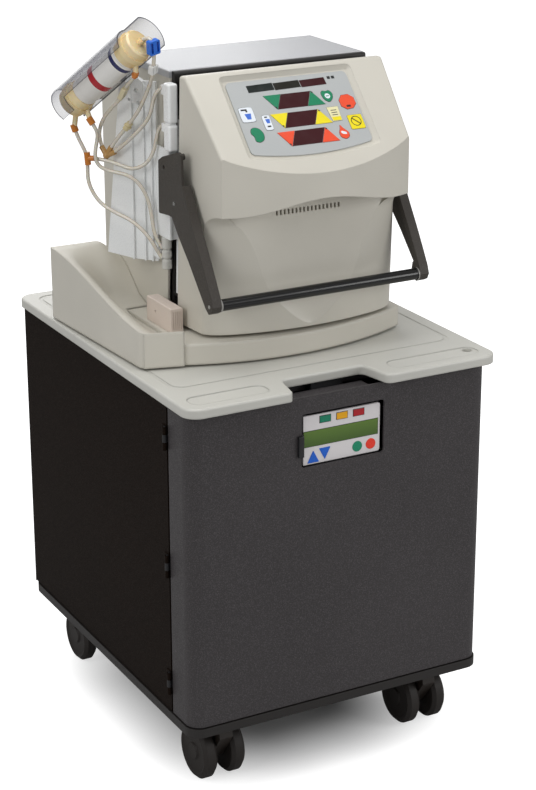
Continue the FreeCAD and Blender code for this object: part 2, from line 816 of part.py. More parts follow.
def make_cycler_base():
    low = "worktop_top + foot_height"
    block_ = box("base_block", "base_left", "base_front", low, "base_right - base_left",
                 "base_rear - base_front", "base_top - (%s)" % low)
    bow = cylinder("base_bow", "base_bow_centre", "base_front + bow_radius", low, "bow_radius", "60")
    deck = common("base_common", block_, bow)
    bowed = lambda e: e.Curve.TypeId == "Part::GeomCircle" and e.BoundBox.ZMin > size.base_top - 1
    node(rounded("base_rounded", deck, 3, bowed), "cycler_base")
    feet = []
    for i, (x, y) in enumerate((("base_left + 30", "base_front + 70"), ("base_right - 30", "base_front + 75"),
                                ("base_left + 30", "base_rear - 30"), ("base_right - 30", "base_rear - 30"),
                                ("shroud_outer_front + 20", "shroud_front + 40"),
                                ("shroud_outer_front + 20", "shroud_rear - 40"))):
        feet.append(cylinder("foot_%d" % i, x, y, "worktop_top", "foot_radius", "foot_height"))
    node(group("feet", *feet), "cycler_feet")


def shroud_height(x, y):
    """Top of the shroud: a rim on the left that falls into a trough."""
    outer = shroud_outer(y)
    inner = size.cycler_centre - size.body_half_width
    along = (y - size.shroud_front) / (size.shroud_rear - size.shroud_front)
    rim = size.shroud_rim_front + (size.shroud_rim_rear - size.shroud_rim_front) * smooth_step(along)
    rise = max(0.0, (y - 30) / 190)
    floor = size.shroud_floor + 88 * rise ** 1.5
    inward = (x - outer - size.shroud_wall) / (inner - outer)
    trough = floor + (rim - floor) * (1 - smooth_step(inward / 0.55))
    level = rim - 30 * smooth_step((x - inner + 42) / 50)
    rear_fall = 24 * max(0.0, (y - size.shroud_rear + 24) / 24) ** 2.5
    return trough + (max(trough, level) - trough) * smooth_step((y - 90) / 100) - rear_fall


def shroud_outer(y):
    along = (y - size.shroud_front) / (size.shroud_rear - size.shroud_front)
    return size.shroud_outer_front + (size.shroud_outer_rear - size.shroud_outer_front) * along


def make_shroud():
    low = size.worktop_top + size.foot_height
    join = size.base_left - size.seat_gap
    body_side = size.cycler_centre - size.body_half_width - size.seat_gap
    front, rear = size.shroud_front, size.shroud_rear
    outline = [(size.shroud_outer_front, front + 20), (join, front), (body_side, front),
               (body_side, rear), (size.shroud_outer_rear, rear)]
    full = prism_z(outline, low, size.shroud_rim_rear + 30)
    corners = [e for e in full.Edges if upright(e) and e.CenterOfMass.x < size.shroud_outer_front + 2]
    full = full.makeFillet(18, corners)
    columns = spread(size.shroud_outer_rear - 7, body_side + 8, 16)
    rows = [[Vector(x, y, shroud_height(x, y)) for x in columns] for y in spread(front - 8, rear + 8, 30)]
    above = surface_through(rows).extrude(Vector(0, 0, 250))
    dish = full.cut(above)
    under = block(join, front - 5, low - 1, body_side + 5, rear + 5, size.base_top + size.seat_gap)
    dish = dish.cut(under)
    wall_line = [(size.shroud_outer_front + 3, front + 19), (join, front), (join, front + size.shroud_wall),
                 (size.shroud_outer_front + 3, front + 19 + size.shroud_wall)]
    wall = prism_z(wall_line, low, size.shroud_rim_front)
    joined = dish.fuse(wall).removeSplitter()
    pieces = sorted(joined.Solids, key=lambda s: s.Volume)
    node(solid("shroud", pieces[-1]), "left_shroud")


def make_leak_detector():
    left, right = size.base_left + 8, size.base_left + 30
    front, rear = -100, -5
    low, high = size.base_top + size.seat_gap, 800
    case = block(left, front, low, right, rear, high)
    case = case.makeFillet(2, [e for e in case.Edges if e.CenterOfMass.z > high - 1])
    grooves = [block(left + 3.2 + 4 * i, front - 1, low + 6, left + 4.8 + 4 * i, front + 1.2, high - 6)
               for i in range(5)]
    hole = Part.makeCylinder(2, 6, Vector(left - 1, front + 62, high - 20), Vector(1, 0, 0))
    node(solid("detector", case.cut(grooves + [hole])), "leak_detector")


def make_rear_body():
    body = Design("rear_body")
    left = "cycler_centre - body_half_width"
    outline = body.sketch("YZ", left)
    low = "base_top + seat_gap"
    body.polygon(outline, [("body_front_low", low), ("body_front_low - body_lean", "body_top"),
                           ("body_flat_rear", "body_top"), ("body_rear", "body_rear_top"),
                           ("body_rear", low)])
    body.pad(outline, "2 * body_half_width")
    rear_upright = lambda e: upright(e) and e.CenterOfMass.y > size.body_rear - 1
    body.fillet("8", rear_upright)
    cavity = body.sketch("YZ", left + " + body_wall")
    floor = low + " + body_wall"
    roof = "body_top - body_wall"
    body.polygon(cavity, [("body_front_low + 5", floor), ("body_front_low - body_lean - 20", floor),
                          ("body_front_low - body_lean - 20", roof), ("body_flat_rear - 3", roof),
                          ("body_rear - body_wall", "body_rear_top - body_wall"),
                          ("body_rear - body_wall", floor)])
    body.pocket(cavity, "2 * body_half_width - 2 * body_wall")
    node(body.body, "rear_body")
    cover = Design("top_cover")
    over = "body_top + seat_gap"
    outline = cover.sketch("YZ", left + " - cover_overlap")
    cover.polygon(outline, [("body_front_low - body_lean", over),
                            ("body_front_low - body_lean", "body_top + cover_thickness"),
                            ("body_flat_rear + 3", "body_top + cover_thickness"),
                            ("body_rear + 6", "body_rear_top + 8"), ("body_rear + 6", "body_rear_top - 20"),
                            ("body_rear + seat_gap", "body_rear_top - 20"),
                            ("body_rear + seat_gap", "body_rear_top + 0.5"), ("body_flat_rear + 0.4", over)])
    cover.pad(outline, "2 * body_half_width + 2 * cover_overlap")
    top_front = lambda e: e.BoundBox.ZMin > size.body_top + size.cover_thickness - 0.1
    cover.fillet("2.5", top_front)
    node(cover.body, "top_cover")


def rod_places():
    for x in (size.cycler_centre - size.body_half_width + size.rod_inset,
              size.cycler_centre + size.body_half_width - size.rod_inset):
        for z in (size.rod_low, size.rod_high):
            yield x, z


def make_slot():
    left = size.cycler_centre - size.body_half_width + 8
    right = size.cycler_centre + size.body_half_width - 8
    low, high = size.base_top + 1, size.body_top - 2
    gap = size.seat_gap
    near = lambda z: body_front(z) - gap
    far = lambda z: body_front(z) - gap - size.slot_plate
    plate = leaning_plate(near, far, low, high, left, right)
    parts = []
    for z in (size.blade_low - 6, size.blade_high + gap):
        ledge = leaning_plate(far, lambda h: slot_middle(h) - 4, z, z + 6 - gap, left, right)
        parts.append(ledge)
    strip_rear = size.body_front_low - size.body_lean - gap
    strip = block(left - 4, strip_rear - 10, high - 8, right + 9, strip_rear, size.body_top + 11)
    front_edges = [e for e in strip.Edges if crosswise(e) and e.CenterOfMass.y < strip_rear - 9]
    strip = strip.makeFillet(4, front_edges)
    parts.append(strip)
    plate = plate.fuse(parts).removeSplitter()
    shaft_hole = Part.makeCylinder(5.5, 80, Vector(size.pump_x, 20, size.pump_z), Vector(0, -1, 0))
    node(solid("slot_plate", plate.cut(shaft_hole)), "slot_frame")
    rods, holes = [], []
    for x, z in rod_places():
        start = far(z) + 3
        rods.append(Part.makeCylinder(size.rod_radius, size.rod_length,
                                      Vector(x, start, z), Vector(0, -1, 0)))
        holes.append(Part.makeCylinder(size.rod_radius + size.fit_clear, -size.rod_hole_end, Vector(x, 0, z),
                                       Vector(0, -1, 0)))
    frame = nodes[-1]
    frame.Shape = frame.Shape.cut(rods)
    node(solid("rods", Part.makeCompound(rods)), "guide_rods")
    press_near = lambda z: housing_rear(z) + size.slot_plate
    press = leaning_plate(press_near, housing_rear, size.housing_bottom + 6, size.housing_top - 12,
                          left, right)
    lip = leaning_plate(lambda z: press_near(z) + 8, press_near, size.housing_top - 22, size.housing_top - 12,
                        left, right)
    node(solid("press", press.fuse(lip).removeSplitter().cut(holes)), "pressure_plate")
    return holes


def make_pump():
    face = body_front(size.pump_z) - size.seat_gap
    motor = Part.makeCylinder(size.motor_radius, size.motor_length,
                              Vector(size.pump_x, face + 0.3 + 6, size.pump_z),
                              Vector(0, 1, 0))
    flange = block(size.pump_x - 38, face + 2.5, size.pump_z - 38,
                   size.pump_x + 38, face + 9, size.pump_z + 38)
    bore = Part.makeCylinder(5.5, 8, Vector(size.pump_x, face - 2, size.pump_z), Vector(0, 1, 0))
    node(solid("motor", motor.fuse(flange).cut(bore).removeSplitter()), "pump_motor")
    start = face - size.slot_plate - size.rotor_gap - size.rotor_thickness
    axis = Vector(0, 1, 0)
    hub = Vector(size.pump_x, start, size.pump_z)
    disc = Part.makeCylinder(size.rotor_radius - 8, size.rotor_thickness, hub, axis)
    shaft = Part.makeCylinder(5, size.slot_plate + size.rotor_gap + 10, hub, axis)
    rollers = []
    for i in range(3):
        turn = math.radians(120 * i + 30)
        reach = size.rotor_radius - 8
        middle = Vector(size.pump_x + reach * math.cos(turn), start, size.pump_z + reach * math.sin(turn))
        rollers.append(Part.makeCylinder(8, size.rotor_thickness, middle, axis))
    node(solid("rotor", disc.fuse(rollers + [shaft]).removeSplitter()), "pump_rotor")


# Front housing, control panel and handle

def side_bow(x, rounding):
    """How far the front face falls back at x, rounded off at the sides."""
    across = x - size.cycler_centre
    return across ** 2 / (2 * size.bow_radius) + rounding * (across / size.housing_half_width) ** 14


# Height and half width of the grip scoop, measured on the photograph
SCOOP_OUTLINE = ((768, 2), (779, 25), (794, 43), (814, 63), (837, 80), (883, 98), (920, 112), (949, 131),
                 (972, 156))


def brow_edge(x):
    """Height of the brow's lower edge, arched over the scoop."""
    turn = 0.5 * math.pi * min(1.0, abs(x - size.cycler_centre) / size.brow_arch_half)
    return size.brow_low + size.brow_arch * math.cos(turn) ** 2


def lower_face(x, z):
    """Y of the housing's front below the brow, without the grip scoop."""
    share = (z - size.housing_bottom) / (size.brow_low - size.housing_bottom)
    plain = size.lower_front_bottom + (size.lower_front_top - size.lower_front_bottom) * share
    return plain + side_bow(x, size.lower_rounding)


def scoop_tool():
    """A dish that is deepest in the middle and meets the front along its measured outline."""
    rows = []
    for z, half in SCOOP_OUTLINE:
        row = []
        for across in spread(-size.scoop_reach, size.scoop_reach, 15):
            x = size.cycler_centre + across * half
            height = z if z < SCOOP_OUTLINE[-1][0] else brow_edge(x) - size.scoop_below_brow
            depth = size.scoop_slope * half * (1 - across ** 2)
            row.append(Vector(x, lower_face(x, height) + depth, height))
        rows.append(row)
    return surface_through(rows).extrude(Vector(0, -60, 0))


def brow_face(x):
    return size.brow_front + side_bow(x, size.brow_rounding)


def underside_rows(columns):
    """Rows of points from the brow's lower edge, round the cove and down the lower front."""
    rows = []
    for turn in range(0, 91, 15):
        below = size.brow_cove * (1 - math.cos(math.radians(turn)))
        out = 1 - math.sin(math.radians(turn))
        row = []
        for x in columns:
            z = brow_edge(x) - below
            inner = lower_face(x, z)
            row.append(Vector(x, inner + (brow_face(x) - size.brow_lip - inner) * out, z))
        rows.append(row)
    for share in spread(0, 1, 20)[1:]:
        row = []
        for x in columns:
            start = brow_edge(x) - size.brow_cove
            z = start + (size.housing_bottom - 6 - start) * share
            row.append(Vector(x, lower_face(x, z), z))
        rows.append(row)
    return rows


def slope_placement(depth):
    """Frame at a depth below the control slope: X across, Y up the slope, Z out of it."""
    along = Vector(0, size.slope_run, size.slope_drop).normalize()
    out = Vector(1, 0, 0).cross(along)
    matrix = FreeCAD.Matrix(1, along.x, out.x, 0, 0, along.y, out.y, 0, 0, along.z, out.z, 0, 0, 0, 0, 1)
    origin = Vector(0, size.slope_start, size.housing_top)
    return Placement(origin - out * depth, Placement(matrix).Rotation)


def make_front_housing(rod_holes):
    middle, half = size.cycler_centre, size.housing_half_width
    low, high = size.housing_bottom, size.housing_top
    plan = []
    for y, side_x in ((-40, 1), (-290, 1), (-290, -1), (-40, -1)):
        plan.append((middle + side_x * (half - size.side_taper * (size.side_taper_start - y)), y))
    reach = 1.3
    side = [(housing_rear(low), low), (housing_rear(high), high), (size.slope_start, high),
            (size.slope_start - reach * size.slope_run, high - reach * size.slope_drop),
            (-300, high - reach * size.slope_drop), (-300, low)]
    shell = prism_z(plan, low, high).common(prism_x(side, middle - half - 5, middle + half + 5))
    upper = [e for e in shell.Edges if e.BoundBox.ZMax > high - 1 and e.BoundBox.ZLength < (high - low) / 2]
    shell = shell.makeFillet(size.housing_rounding, upper)
    columns = spread(middle - half - 6, middle + half + 6, 47)
    face = [[Vector(x, brow_face(x), z) for x in columns] for z in spread(low - 6, high - 90, 5)]
    for rows in (face, underside_rows(columns)):
        shell = shell.cut(surface_through(rows).extrude(Vector(0, -220, 0)))
        shell = sorted(shell.Solids, key=lambda s: s.Volume)[-1]
    shell = shell.cut(scoop_tool())
    wall = size.housing_cavity_wall
    roof = high - 40
    inner = prism_x([(-30, low + wall), (-30, roof), (size.slope_start - 18, roof), (-190, high - 118),
                     (-190, size.brow_low + 36), (-125, size.brow_low + 22), (-125, low + wall)],
                    middle - half + 2 * wall + 4, middle + half - 2 * wall - 4)
    vents = []
    for i in range(-8, 9):
        x = middle + i * size.vent_pitch - size.vent_width / 2
        vents.append(block(x, -205, size.vent_low,
                           x + size.vent_width, -166, size.vent_low + size.vent_height))
    recess = fascia_shape(size.fascia_recess, -size.fascia_border)
    floor_edges = [e for e in recess.Edges if e.BoundBox.ZMax < 0.1 - size.fascia_recess]
    recess = recess.makeChamfer(size.fascia_recess - 0.5, floor_edges)
    recess.Placement = slope_placement(0)
    shell = shell.cut([inner, recess] + rod_holes + vents)
    node(solid("front_shell", shell), "front_housing")


def fascia_shape(depth, inset):
    """The control plate, in the slope's own frame, with its top face at Z 0."""
    left, right = size.fascia_left + inset, size.fascia_right - inset
    high, low = -size.fascia_start - inset, -size.fascia_end + inset
    top = Part.LineSegment(Vector(right, high, -depth), Vector(left, high, -depth))
    side_left = Part.LineSegment(Vector(left, high, -depth), Vector(left, low, -depth))
    bow = Part.Arc(Vector(left, low, -depth), Vector((left + right) / 2, low - size.fascia_bow, -depth),
                   Vector(right, low, -depth))
    side_right = Part.LineSegment(Vector(right, low, -depth), Vector(right, high, -depth))
    outline = Part.Wire([top.toShape(), side_left.toShape(), bow.toShape(), side_right.toShape()])
    plate = Part.Face(outline).extrude(Vector(0, 0, depth))
    corners = [e for e in plate.Edges if runs_along(e, Vector(0, 0, 1))]
    return plate.makeFillet(9, corners)


# Outlines of the keys on the film: (across, down the slope), measured on the photograph
KEY_ROWS = (49, 85.2, 120.4)
KEY_OUTLINES = (
    ((-91, 66.5), (-65.3, 66.5), (-65.3, 95), (-91, 95)),
    ((-54.5, 85.2), (-40, 85.2), (-40, 114), (-54.5, 114)),
    ((-82, 108), (-74, 105.5), (-65.8, 109.5), (-61.5, 119), (-64, 130), (-73.5, 134.8), (-81, 131),
     (-79.5, 122.5), (-84.5, 117)),
    ((69.5, 56), (74, 51), (80, 53.5), (86, 51), (91, 57.5), (89, 67), (80, 75), (71.5, 68)),
    ((98.2, 73), (105.5, 64), (118.5, 63.4), (127, 70.5), (127.5, 82.5), (119.5, 90.5),
     (107.5, 91.8), (98.6, 85)),
    ((69.5, 84), (91, 84), (89.8, 111.3), (72.2, 111.3)),
    ((101, 103.6), (128, 103.6), (128, 131), (101, 131)),
    ((81, 119), (86, 127.5), (92.6, 134), (92.4, 142.5), (84, 147.5), (75.4, 143), (75, 134), (79, 127.5)),
)


def key_plate(corners, height):
    return flat_face([Vector(x, -down, 0) for x, down in corners]).extrude(Vector(0, 0, height))


def make_fascia():
    on_recess = slope_placement(size.fascia_recess - size.fascia_thickness)
    plate = fascia_shape(size.fascia_thickness, 0)
    node(solid("fascia_plate", plate), "control_fascia").Placement = on_recess
    height = size.display_height
    screens = [key_plate([(-61, 26), (87, 26), (88, 40), (-60, 40)], height)]
    keys = [key_plate(outline, size.key_height) for outline in KEY_OUTLINES]
    for top in KEY_ROWS:
        low = top + size.key_row_depth
        screens.append(key_plate([(-4.2, top), (52, top), (37.2, low), (-19, low)], height))
        keys.append(key_plate([(-37.5, top), (-4.8, top), (-19.6, low)], size.key_height))
        keys.append(key_plate([(52.6, top), (71, low), (37.8, low)], size.key_height))
    node(solid("screens", Part.makeCompound(screens)), "display_windows").Placement = on_recess
    node(solid("keys", Part.makeCompound(keys)), "fascia_keys").Placement = on_recess


ARM_OUTLINE = ((-35, 951), (-36, 1042), (-52, 1051), (-74, 1058), (-112, 1070), (-122, 1068), (-124, 1016),
               (-131, 1004), (-142, 985), (-166, 946), (-191, 908), (-210, 877), (-226, 850), (-231, 836),
               (-226, 826), (-216, 821), (-205, 828), (-144, 893), (-105, 930), (-84, 955), (-70, 955))
ARM_FRONT = ARM_OUTLINE[6:13]
ARM_TOE = ARM_OUTLINE[12:17] + ((-201, 836), (-204, 852), (-216, 862))


def inside_front(depth):
    """The arm's front line, moved into the arm."""
    return [(y + 0.852 * depth, z - 0.523 * depth) for y, z in reversed(ARM_FRONT)]


def make_handle():
    axis = Vector(1, 0, 0)
    middle = size.cycler_centre
    inner = size.housing_half_width + size.arm_gap
    outer = inner + size.arm_width
    plate_inner = outer - size.arm_thickness
    flange = list(ARM_FRONT) + inside_front(size.flange_thickness)
    lip = list(ARM_FRONT) + inside_front(size.flange_thickness + size.flange_lip)
    bar = Part.makeCylinder(size.bar_radius, 2 * inner, Vector(middle - inner, size.bar_y, size.bar_z), axis)
    screw = Part.makeCylinder(size.bar_screw, 2 * outer + 2,
                              Vector(middle - outer - 1, size.bar_y, size.bar_z), axis)
    for name, side in (("left", -1), ("right", 1)):
        def across(near, far):
            return sorted((middle + side * near, middle + side * far))
        arm = prism_x(ARM_OUTLINE, *across(plate_inner, outer))
        sharp = (ARM_OUTLINE[0], ARM_OUTLINE[1], ARM_OUTLINE[5])
        bends = [e for e in arm.Edges if crosswise(e) and (e.CenterOfMass.y, e.CenterOfMass.z) in sharp]
        arm = arm.makeFillet(3, bends)
        knob_start, knob_end = across(outer - size.knob_reach, outer)
        knob = Part.makeCylinder(size.knob_radius, knob_end - knob_start,
                                 Vector(knob_start, -113, 1062), axis)
        arm = arm.fuse([prism_x(flange, *across(inner, outer)), prism_x(lip, *across(inner, inner + 3)),
                        prism_x(ARM_TOE, *across(inner, outer)), knob])
        arm = arm.cut([Part.makeCylinder(3.5, 60, Vector(middle + side * outer - 30, -57, 1034), axis),
                       Part.makeCylinder(size.pivot_radius + size.fit_clear, 60,
                                         Vector(middle + side * outer - 30, size.pivot_y, size.pivot_z),
                                         axis),
                       screw])
        node(solid("arm_" + name, arm.removeSplitter()), "handle_arm_" + name)
    collars = [Part.makeCylinder(size.collar_radius, size.collar_width,
                                 Vector(start, size.bar_y, size.bar_z), axis)
               for start in (middle - inner, middle + inner - size.collar_width)]
    node(solid("bar", bar.fuse(collars + [screw]).removeSplitter()), "handle_bar")
    housing = [n for n in nodes if n.Label == "front_housing"][0]
    pins = []
    for side in (-1, 1):
        start, end = sorted((middle + side * (size.housing_half_width - 6), middle + side * (outer + 1)))
        pin = Part.makeCylinder(size.pivot_radius, end - start,
                                Vector(start, size.pivot_y, size.pivot_z), axis)
        start, end = sorted((middle + side * (size.housing_half_width - 6),
                             middle + side * (plate_inner - 0.3)))
        collar = Part.makeCylinder(size.pivot_collar, end - start,
                                   Vector(start, size.pivot_y, size.pivot_z), axis)
        pins.append(pin.fuse(collar).removeSplitter().cut(housing.Shape))
    node(solid("pins", Part.makeCompound(pins)), "pivot_pins")


# Cartridge, tube organiser and dialyser

def set_shift():
    """Moves the disposable set along X with the side of the body that it hangs on."""
    return Vector(size.cycler_centre - size.body_half_width - size.drawn_side, 0, 0)


def organiser_placement():
    """Frame of the organiser: X along its face to the right, Y into it."""
    return Placement(set_shift(), Rotation(Vector(0, 0, 1), size.organiser_turn))


def make_cartridge():
    left = size.cycler_centre - size.body_half_width + 7
    right = size.cycler_centre + size.body_half_width - 20
    half = size.blade_thickness / 2
    blade = leaning_plate(lambda z: slot_middle(z) + half, lambda z: slot_middle(z) - half,
                          size.blade_low, size.blade_high, left, right)
    window = Part.makeCylinder(size.rotor_radius + 8, 200,
                               Vector(size.pump_x, 20, size.pump_z), Vector(0, -1, 0))
    node(solid("blade", blade.cut(window)), "cartridge_blade")
    face, back = -size.organiser_face, -size.organiser_face + size.organiser_thickness
    low = 864
    seam, right_end = -153, -107
    corners = [Vector(-201, face, low), Vector(seam, face, low - 6), Vector(seam, face, 1166),
               Vector(-172, face, 1158), Vector(-201, face, low)]
    panel = Part.Face(Part.makePolygon(corners))
    panel = panel.extrude(Vector(0, size.organiser_thickness, 0))
    channel = block(seam, face + 5, low - 8, right_end, back, 1166)
    ribs = [block(seam + d, face, low - 8, seam + d + 3, face + 6, 1166) for d in (0, 22, 36)]
    head = Part.makeCylinder(22, size.organiser_thickness - 2, Vector(-146, face + 1, 1150), Vector(0, 1, 0))
    holes = [Part.makeCylinder(r, 40, Vector(a, face - 10, z), Vector(0, 1, 0))
             for a, z, r in ((-141, 1150, 4), (-136, 1128, 4.5), (-154, 1134, 2.5))]
    local = panel.fuse([channel, head] + ribs).cut(holes).removeSplitter()
    local.Placement = organiser_placement()
    side = size.cycler_centre - size.body_half_width
    neck = block(side - 11, -52, 905, side - 7, 0, 1060)
    tongue = block(side - 8, -50, 905, left - size.seat_gap, -44, 1060)
    foot = block(side - 17, -22, 866, side - 6, 4, 880)
    node(solid("organiser", local.fuse([neck, tongue, foot]).removeSplitter()), "tube_organiser")
    lines = line_tubes()
    pods = []
    for low, high, inset in ((1060.3, 1105, 0), (1104, 1109, 3), (1108, 1174, 0)):
        pod = block(side - 18 + inset, -70 + inset, low, side - 0.5 - inset, -47 - inset, high)
        pods.append(pod if inset else pod.makeFillet(4, pod.Edges))
    for low, high in ((1090, 1104), (1152, 1168)):
        pods.append(block(side - 15, -52, low, side - 0.5, -34.5, high))
    node(solid("pods", pods[0].fuse(pods[1:]).removeSplitter().cut(lines)), "pressure_pods")
    post_x, post_y = side - 7.5, -30.5
    post = Part.makeCylinder(8.5, 54, Vector(post_x, post_y, 850.7))
    rings = [Part.makeTorus(8.5 + 1.5, 3.4, Vector(post_x, post_y, z)) for z in (868, 884)]
    node(solid("post", post.cut(rings + lines)), "tube_post")


def dialyser_placement():
    """Frame of the dialyser: X up along its axis, -Y towards the front."""
    turn = Rotation(Vector(0, 0, 1), size.dialyser_turn) * Rotation(Vector(0, 1, 0), -size.dialyser_tilt)
    return Placement(Vector(size.dialyser_x, size.dialyser_y, size.dialyser_z) + set_shift(), turn)


def make_dialyser():
    half = size.shield_length / 2
    start, end = -half + 8, half - 22
    cap_length = 38
    axis = Vector(1, 0, 0)
    case = Part.makeCylinder(size.dialyser_radius, end - start - 2 * cap_length,
                             Vector(start + cap_length, 0, 0), axis)
    label = Part.makeCylinder(size.dialyser_radius + 1, 96, Vector(start + cap_length + 14, 0, 0), axis)
    node(solid("case", case.fuse(label).removeSplitter()), "dialyser_case").Placement = dialyser_placement()
    caps = []
    r = size.cap_radius
    for base, way in ((start, 1), (end, -1)):
        rings = [(0, 0), (0, r - 6), (3, r - 3), (14, r - 2), (14, r), (24, r), (24, r - 2),
                 (cap_length, r - 4), (cap_length, 0)]
        points = [Vector(base + way * a, 0, b) for a, b in rings]
        cap = flat_face(points).revolve(Vector(base, 0, 0), axis, 360)
        nozzle = Part.makeCylinder(6, 9, Vector(base, 0, 0), Vector(-way, 0, 0))
        caps.append(placed(cap.fuse(nozzle).removeSplitter(), dialyser_placement()))
    place_ = dialyser_placement()
    for index, distance, line in ((0, start + 20, "line_lower"), (0, start + 30, "line_upper"),
                                  (1, end - 12, "line_cap")):
        root = place_.multVec(Vector(distance, 0, 0))
        way = Vector(*ROUTES[line][0]) + set_shift() - root
        caps[index] = caps[index].fuse(Part.makeCylinder(4.5, way.Length, root, way)).removeSplitter()
    lines = line_tubes()
    node(solid("caps", Part.makeCompound([cap.cut(lines) for cap in caps])), "dialyser_caps")
    outer = Part.makeCylinder(size.shield_radius, size.shield_length, Vector(-half, 0, 0), axis)
    bore = Part.makeCylinder(size.shield_radius - size.shield_wall, size.shield_length + 2,
                             Vector(-half - 1, 0, 0), axis)
    shield = outer.cut(bore)
    for first, last, x0, x1 in ((-13, 135, -half + 30, half + 2), (-95, -10, half - 38, half + 2),
                                (35, 135, -half - 2, -half + 32)):
        shield = shield.cut(sector(first, last, x0, x1))
    node(solid("shield", shield.removeSplitter()), "filter_shield").Placement = place_


def sector(first, last, start, end):
    """A wedge about the dialyser's axis, by angle from front to below."""
    reach = 2 * size.shield_radius
    steps = max(2, int((last - first) / 30) + 1)
    rim = [math.radians(a) for a in spread(first, last, steps)]
    points = [Vector(start, 0, 0)] + [Vector(start, -reach * math.cos(a), -reach * math.sin(a)) for a in rim]
    return flat_face(points).extrude(Vector(end - start, 0, 0))


# Tubing: hand-chosen routes, then the fittings and clamps that hold them

ROUTES = {
    "line_lower": [
        (-283.2, 86.2, 1084), (-279, 83, 1068), (-271, 76, 1048), (-267, 72, 1032), (-267, 73, 1012),
        (-266, 75, 992), (-260, 69, 971), (-250, 56, 953), (-234, 36, 941), (-217, 14, 932),
        (-203, -4, 917), (-192.5, -18, 899), (-184.8, -22.5, 882), (-177.8, -26.4, 869)],
    "line_upper": [
        (-266.4, 55.1, 1099.9), (-261, 49, 1088), (-255, 53, 1076), (-255, 58, 1062), (-259, 57, 1047),
        (-259.5, 56, 1032), (-253.5, 53, 1020), (-243, 45, 1014), (-230, 32, 1011.5), (-217, 18.5, 1008),
        (-205, 7.5, 998), (-196.5, 1, 984), (-190, -3.5, 965), (-186.5, -7, 941), (-185, -10, 917),
        (-180.5, -14, 897), (-174.6, -22.5, 884.5)],
    "line_cross": [
        (-262.5, 70, 1033), (-245, 52, 1031), (-229, 34, 1026), (-214.5, 18, 1019), (-202, 4, 1022),
        (-189, -6, 1034), (-181.5, -13, 1055), (-178.5, -19, 1082), (-177.5, -26.5, 1096),
        (-174.5, -34.6, 1101.5)],
    "line_clamp": [
        (-212.7, -44.2, 1246.8), (-207.5, -54, 1252), (-203, -60, 1243), (-200, -58, 1225), (-197, -49, 1202),
        (-194.5, -34, 1177), (-196.5, -18, 1152), (-204, -3, 1121), (-215, 19, 1092), (-228, 37, 1068),
        (-235.5, 47, 1050)],
    "line_pod": [
        (-176.2, -36.3, 1163), (-182, -28, 1157), (-186, -22, 1142), (-188, -17, 1121), (-192, -9, 1104),
        (-201, 2, 1088), (-213, 14, 1071), (-222.5, 29, 1056), (-232.5, 44, 1043)],
    "line_cap": [
        (-220.5, -29.8, 1189.7), (-223, -22, 1178), (-227, -5, 1165), (-229, 14, 1141), (-237, 35, 1122),
        (-244, 51, 1104), (-247, 62, 1085), (-247, 66, 1066), (-243.5, 60.5, 1049)],
}
TEE_AT = (-267, 72, 1032)
WYE_AT = (-240, 53, 1038)
JOINER_AT = (-215, 19, 1092)
BLUE_CLAMP_AT = (-201.8, -59.5, 1236)
WHITE_CLAMP_AT = (-196.5, -46, 1197)
BEIGE_CLAMP_AT = (-228, 4, 1153)


def along(point, direction):
    """A placement at a point whose X runs along a direction."""
    turn = Rotation(Vector(1, 0, 0), Vector(*direction))
    return Placement(Vector(*point) + set_shift(), turn)


TUBES = {}


def line_tubes():
    """The six lines, swept once and kept."""
    if not TUBES:
        for name, route in ROUTES.items():
            TUBES[name] = tube_along([Vector(*p) + set_shift() for p in route], size.tube_radius)
    return list(TUBES.values())


def placed(shape, placement):
    shape.Placement = placement
    return shape


def clamp_shape(length, width, height):
    """An open pinch clamp: a ring with a bar across, along X."""
    outer = block(-length / 2, -width / 2, -height / 2, length / 2, width / 2, height / 2)
    outer = outer.makeFillet(2, [e for e in outer.Edges if runs_along(e, Vector(0, 1, 0))])
    opening = block(-length / 2 + 3, -width, -height / 2 + 2.5, length / 2 - 3, width, -3.6)
    second = block(-length / 2 + 3, -width, 3.6, length / 2 - 3, width, height / 2 - 2.5)
    return outer.cut([opening, second])


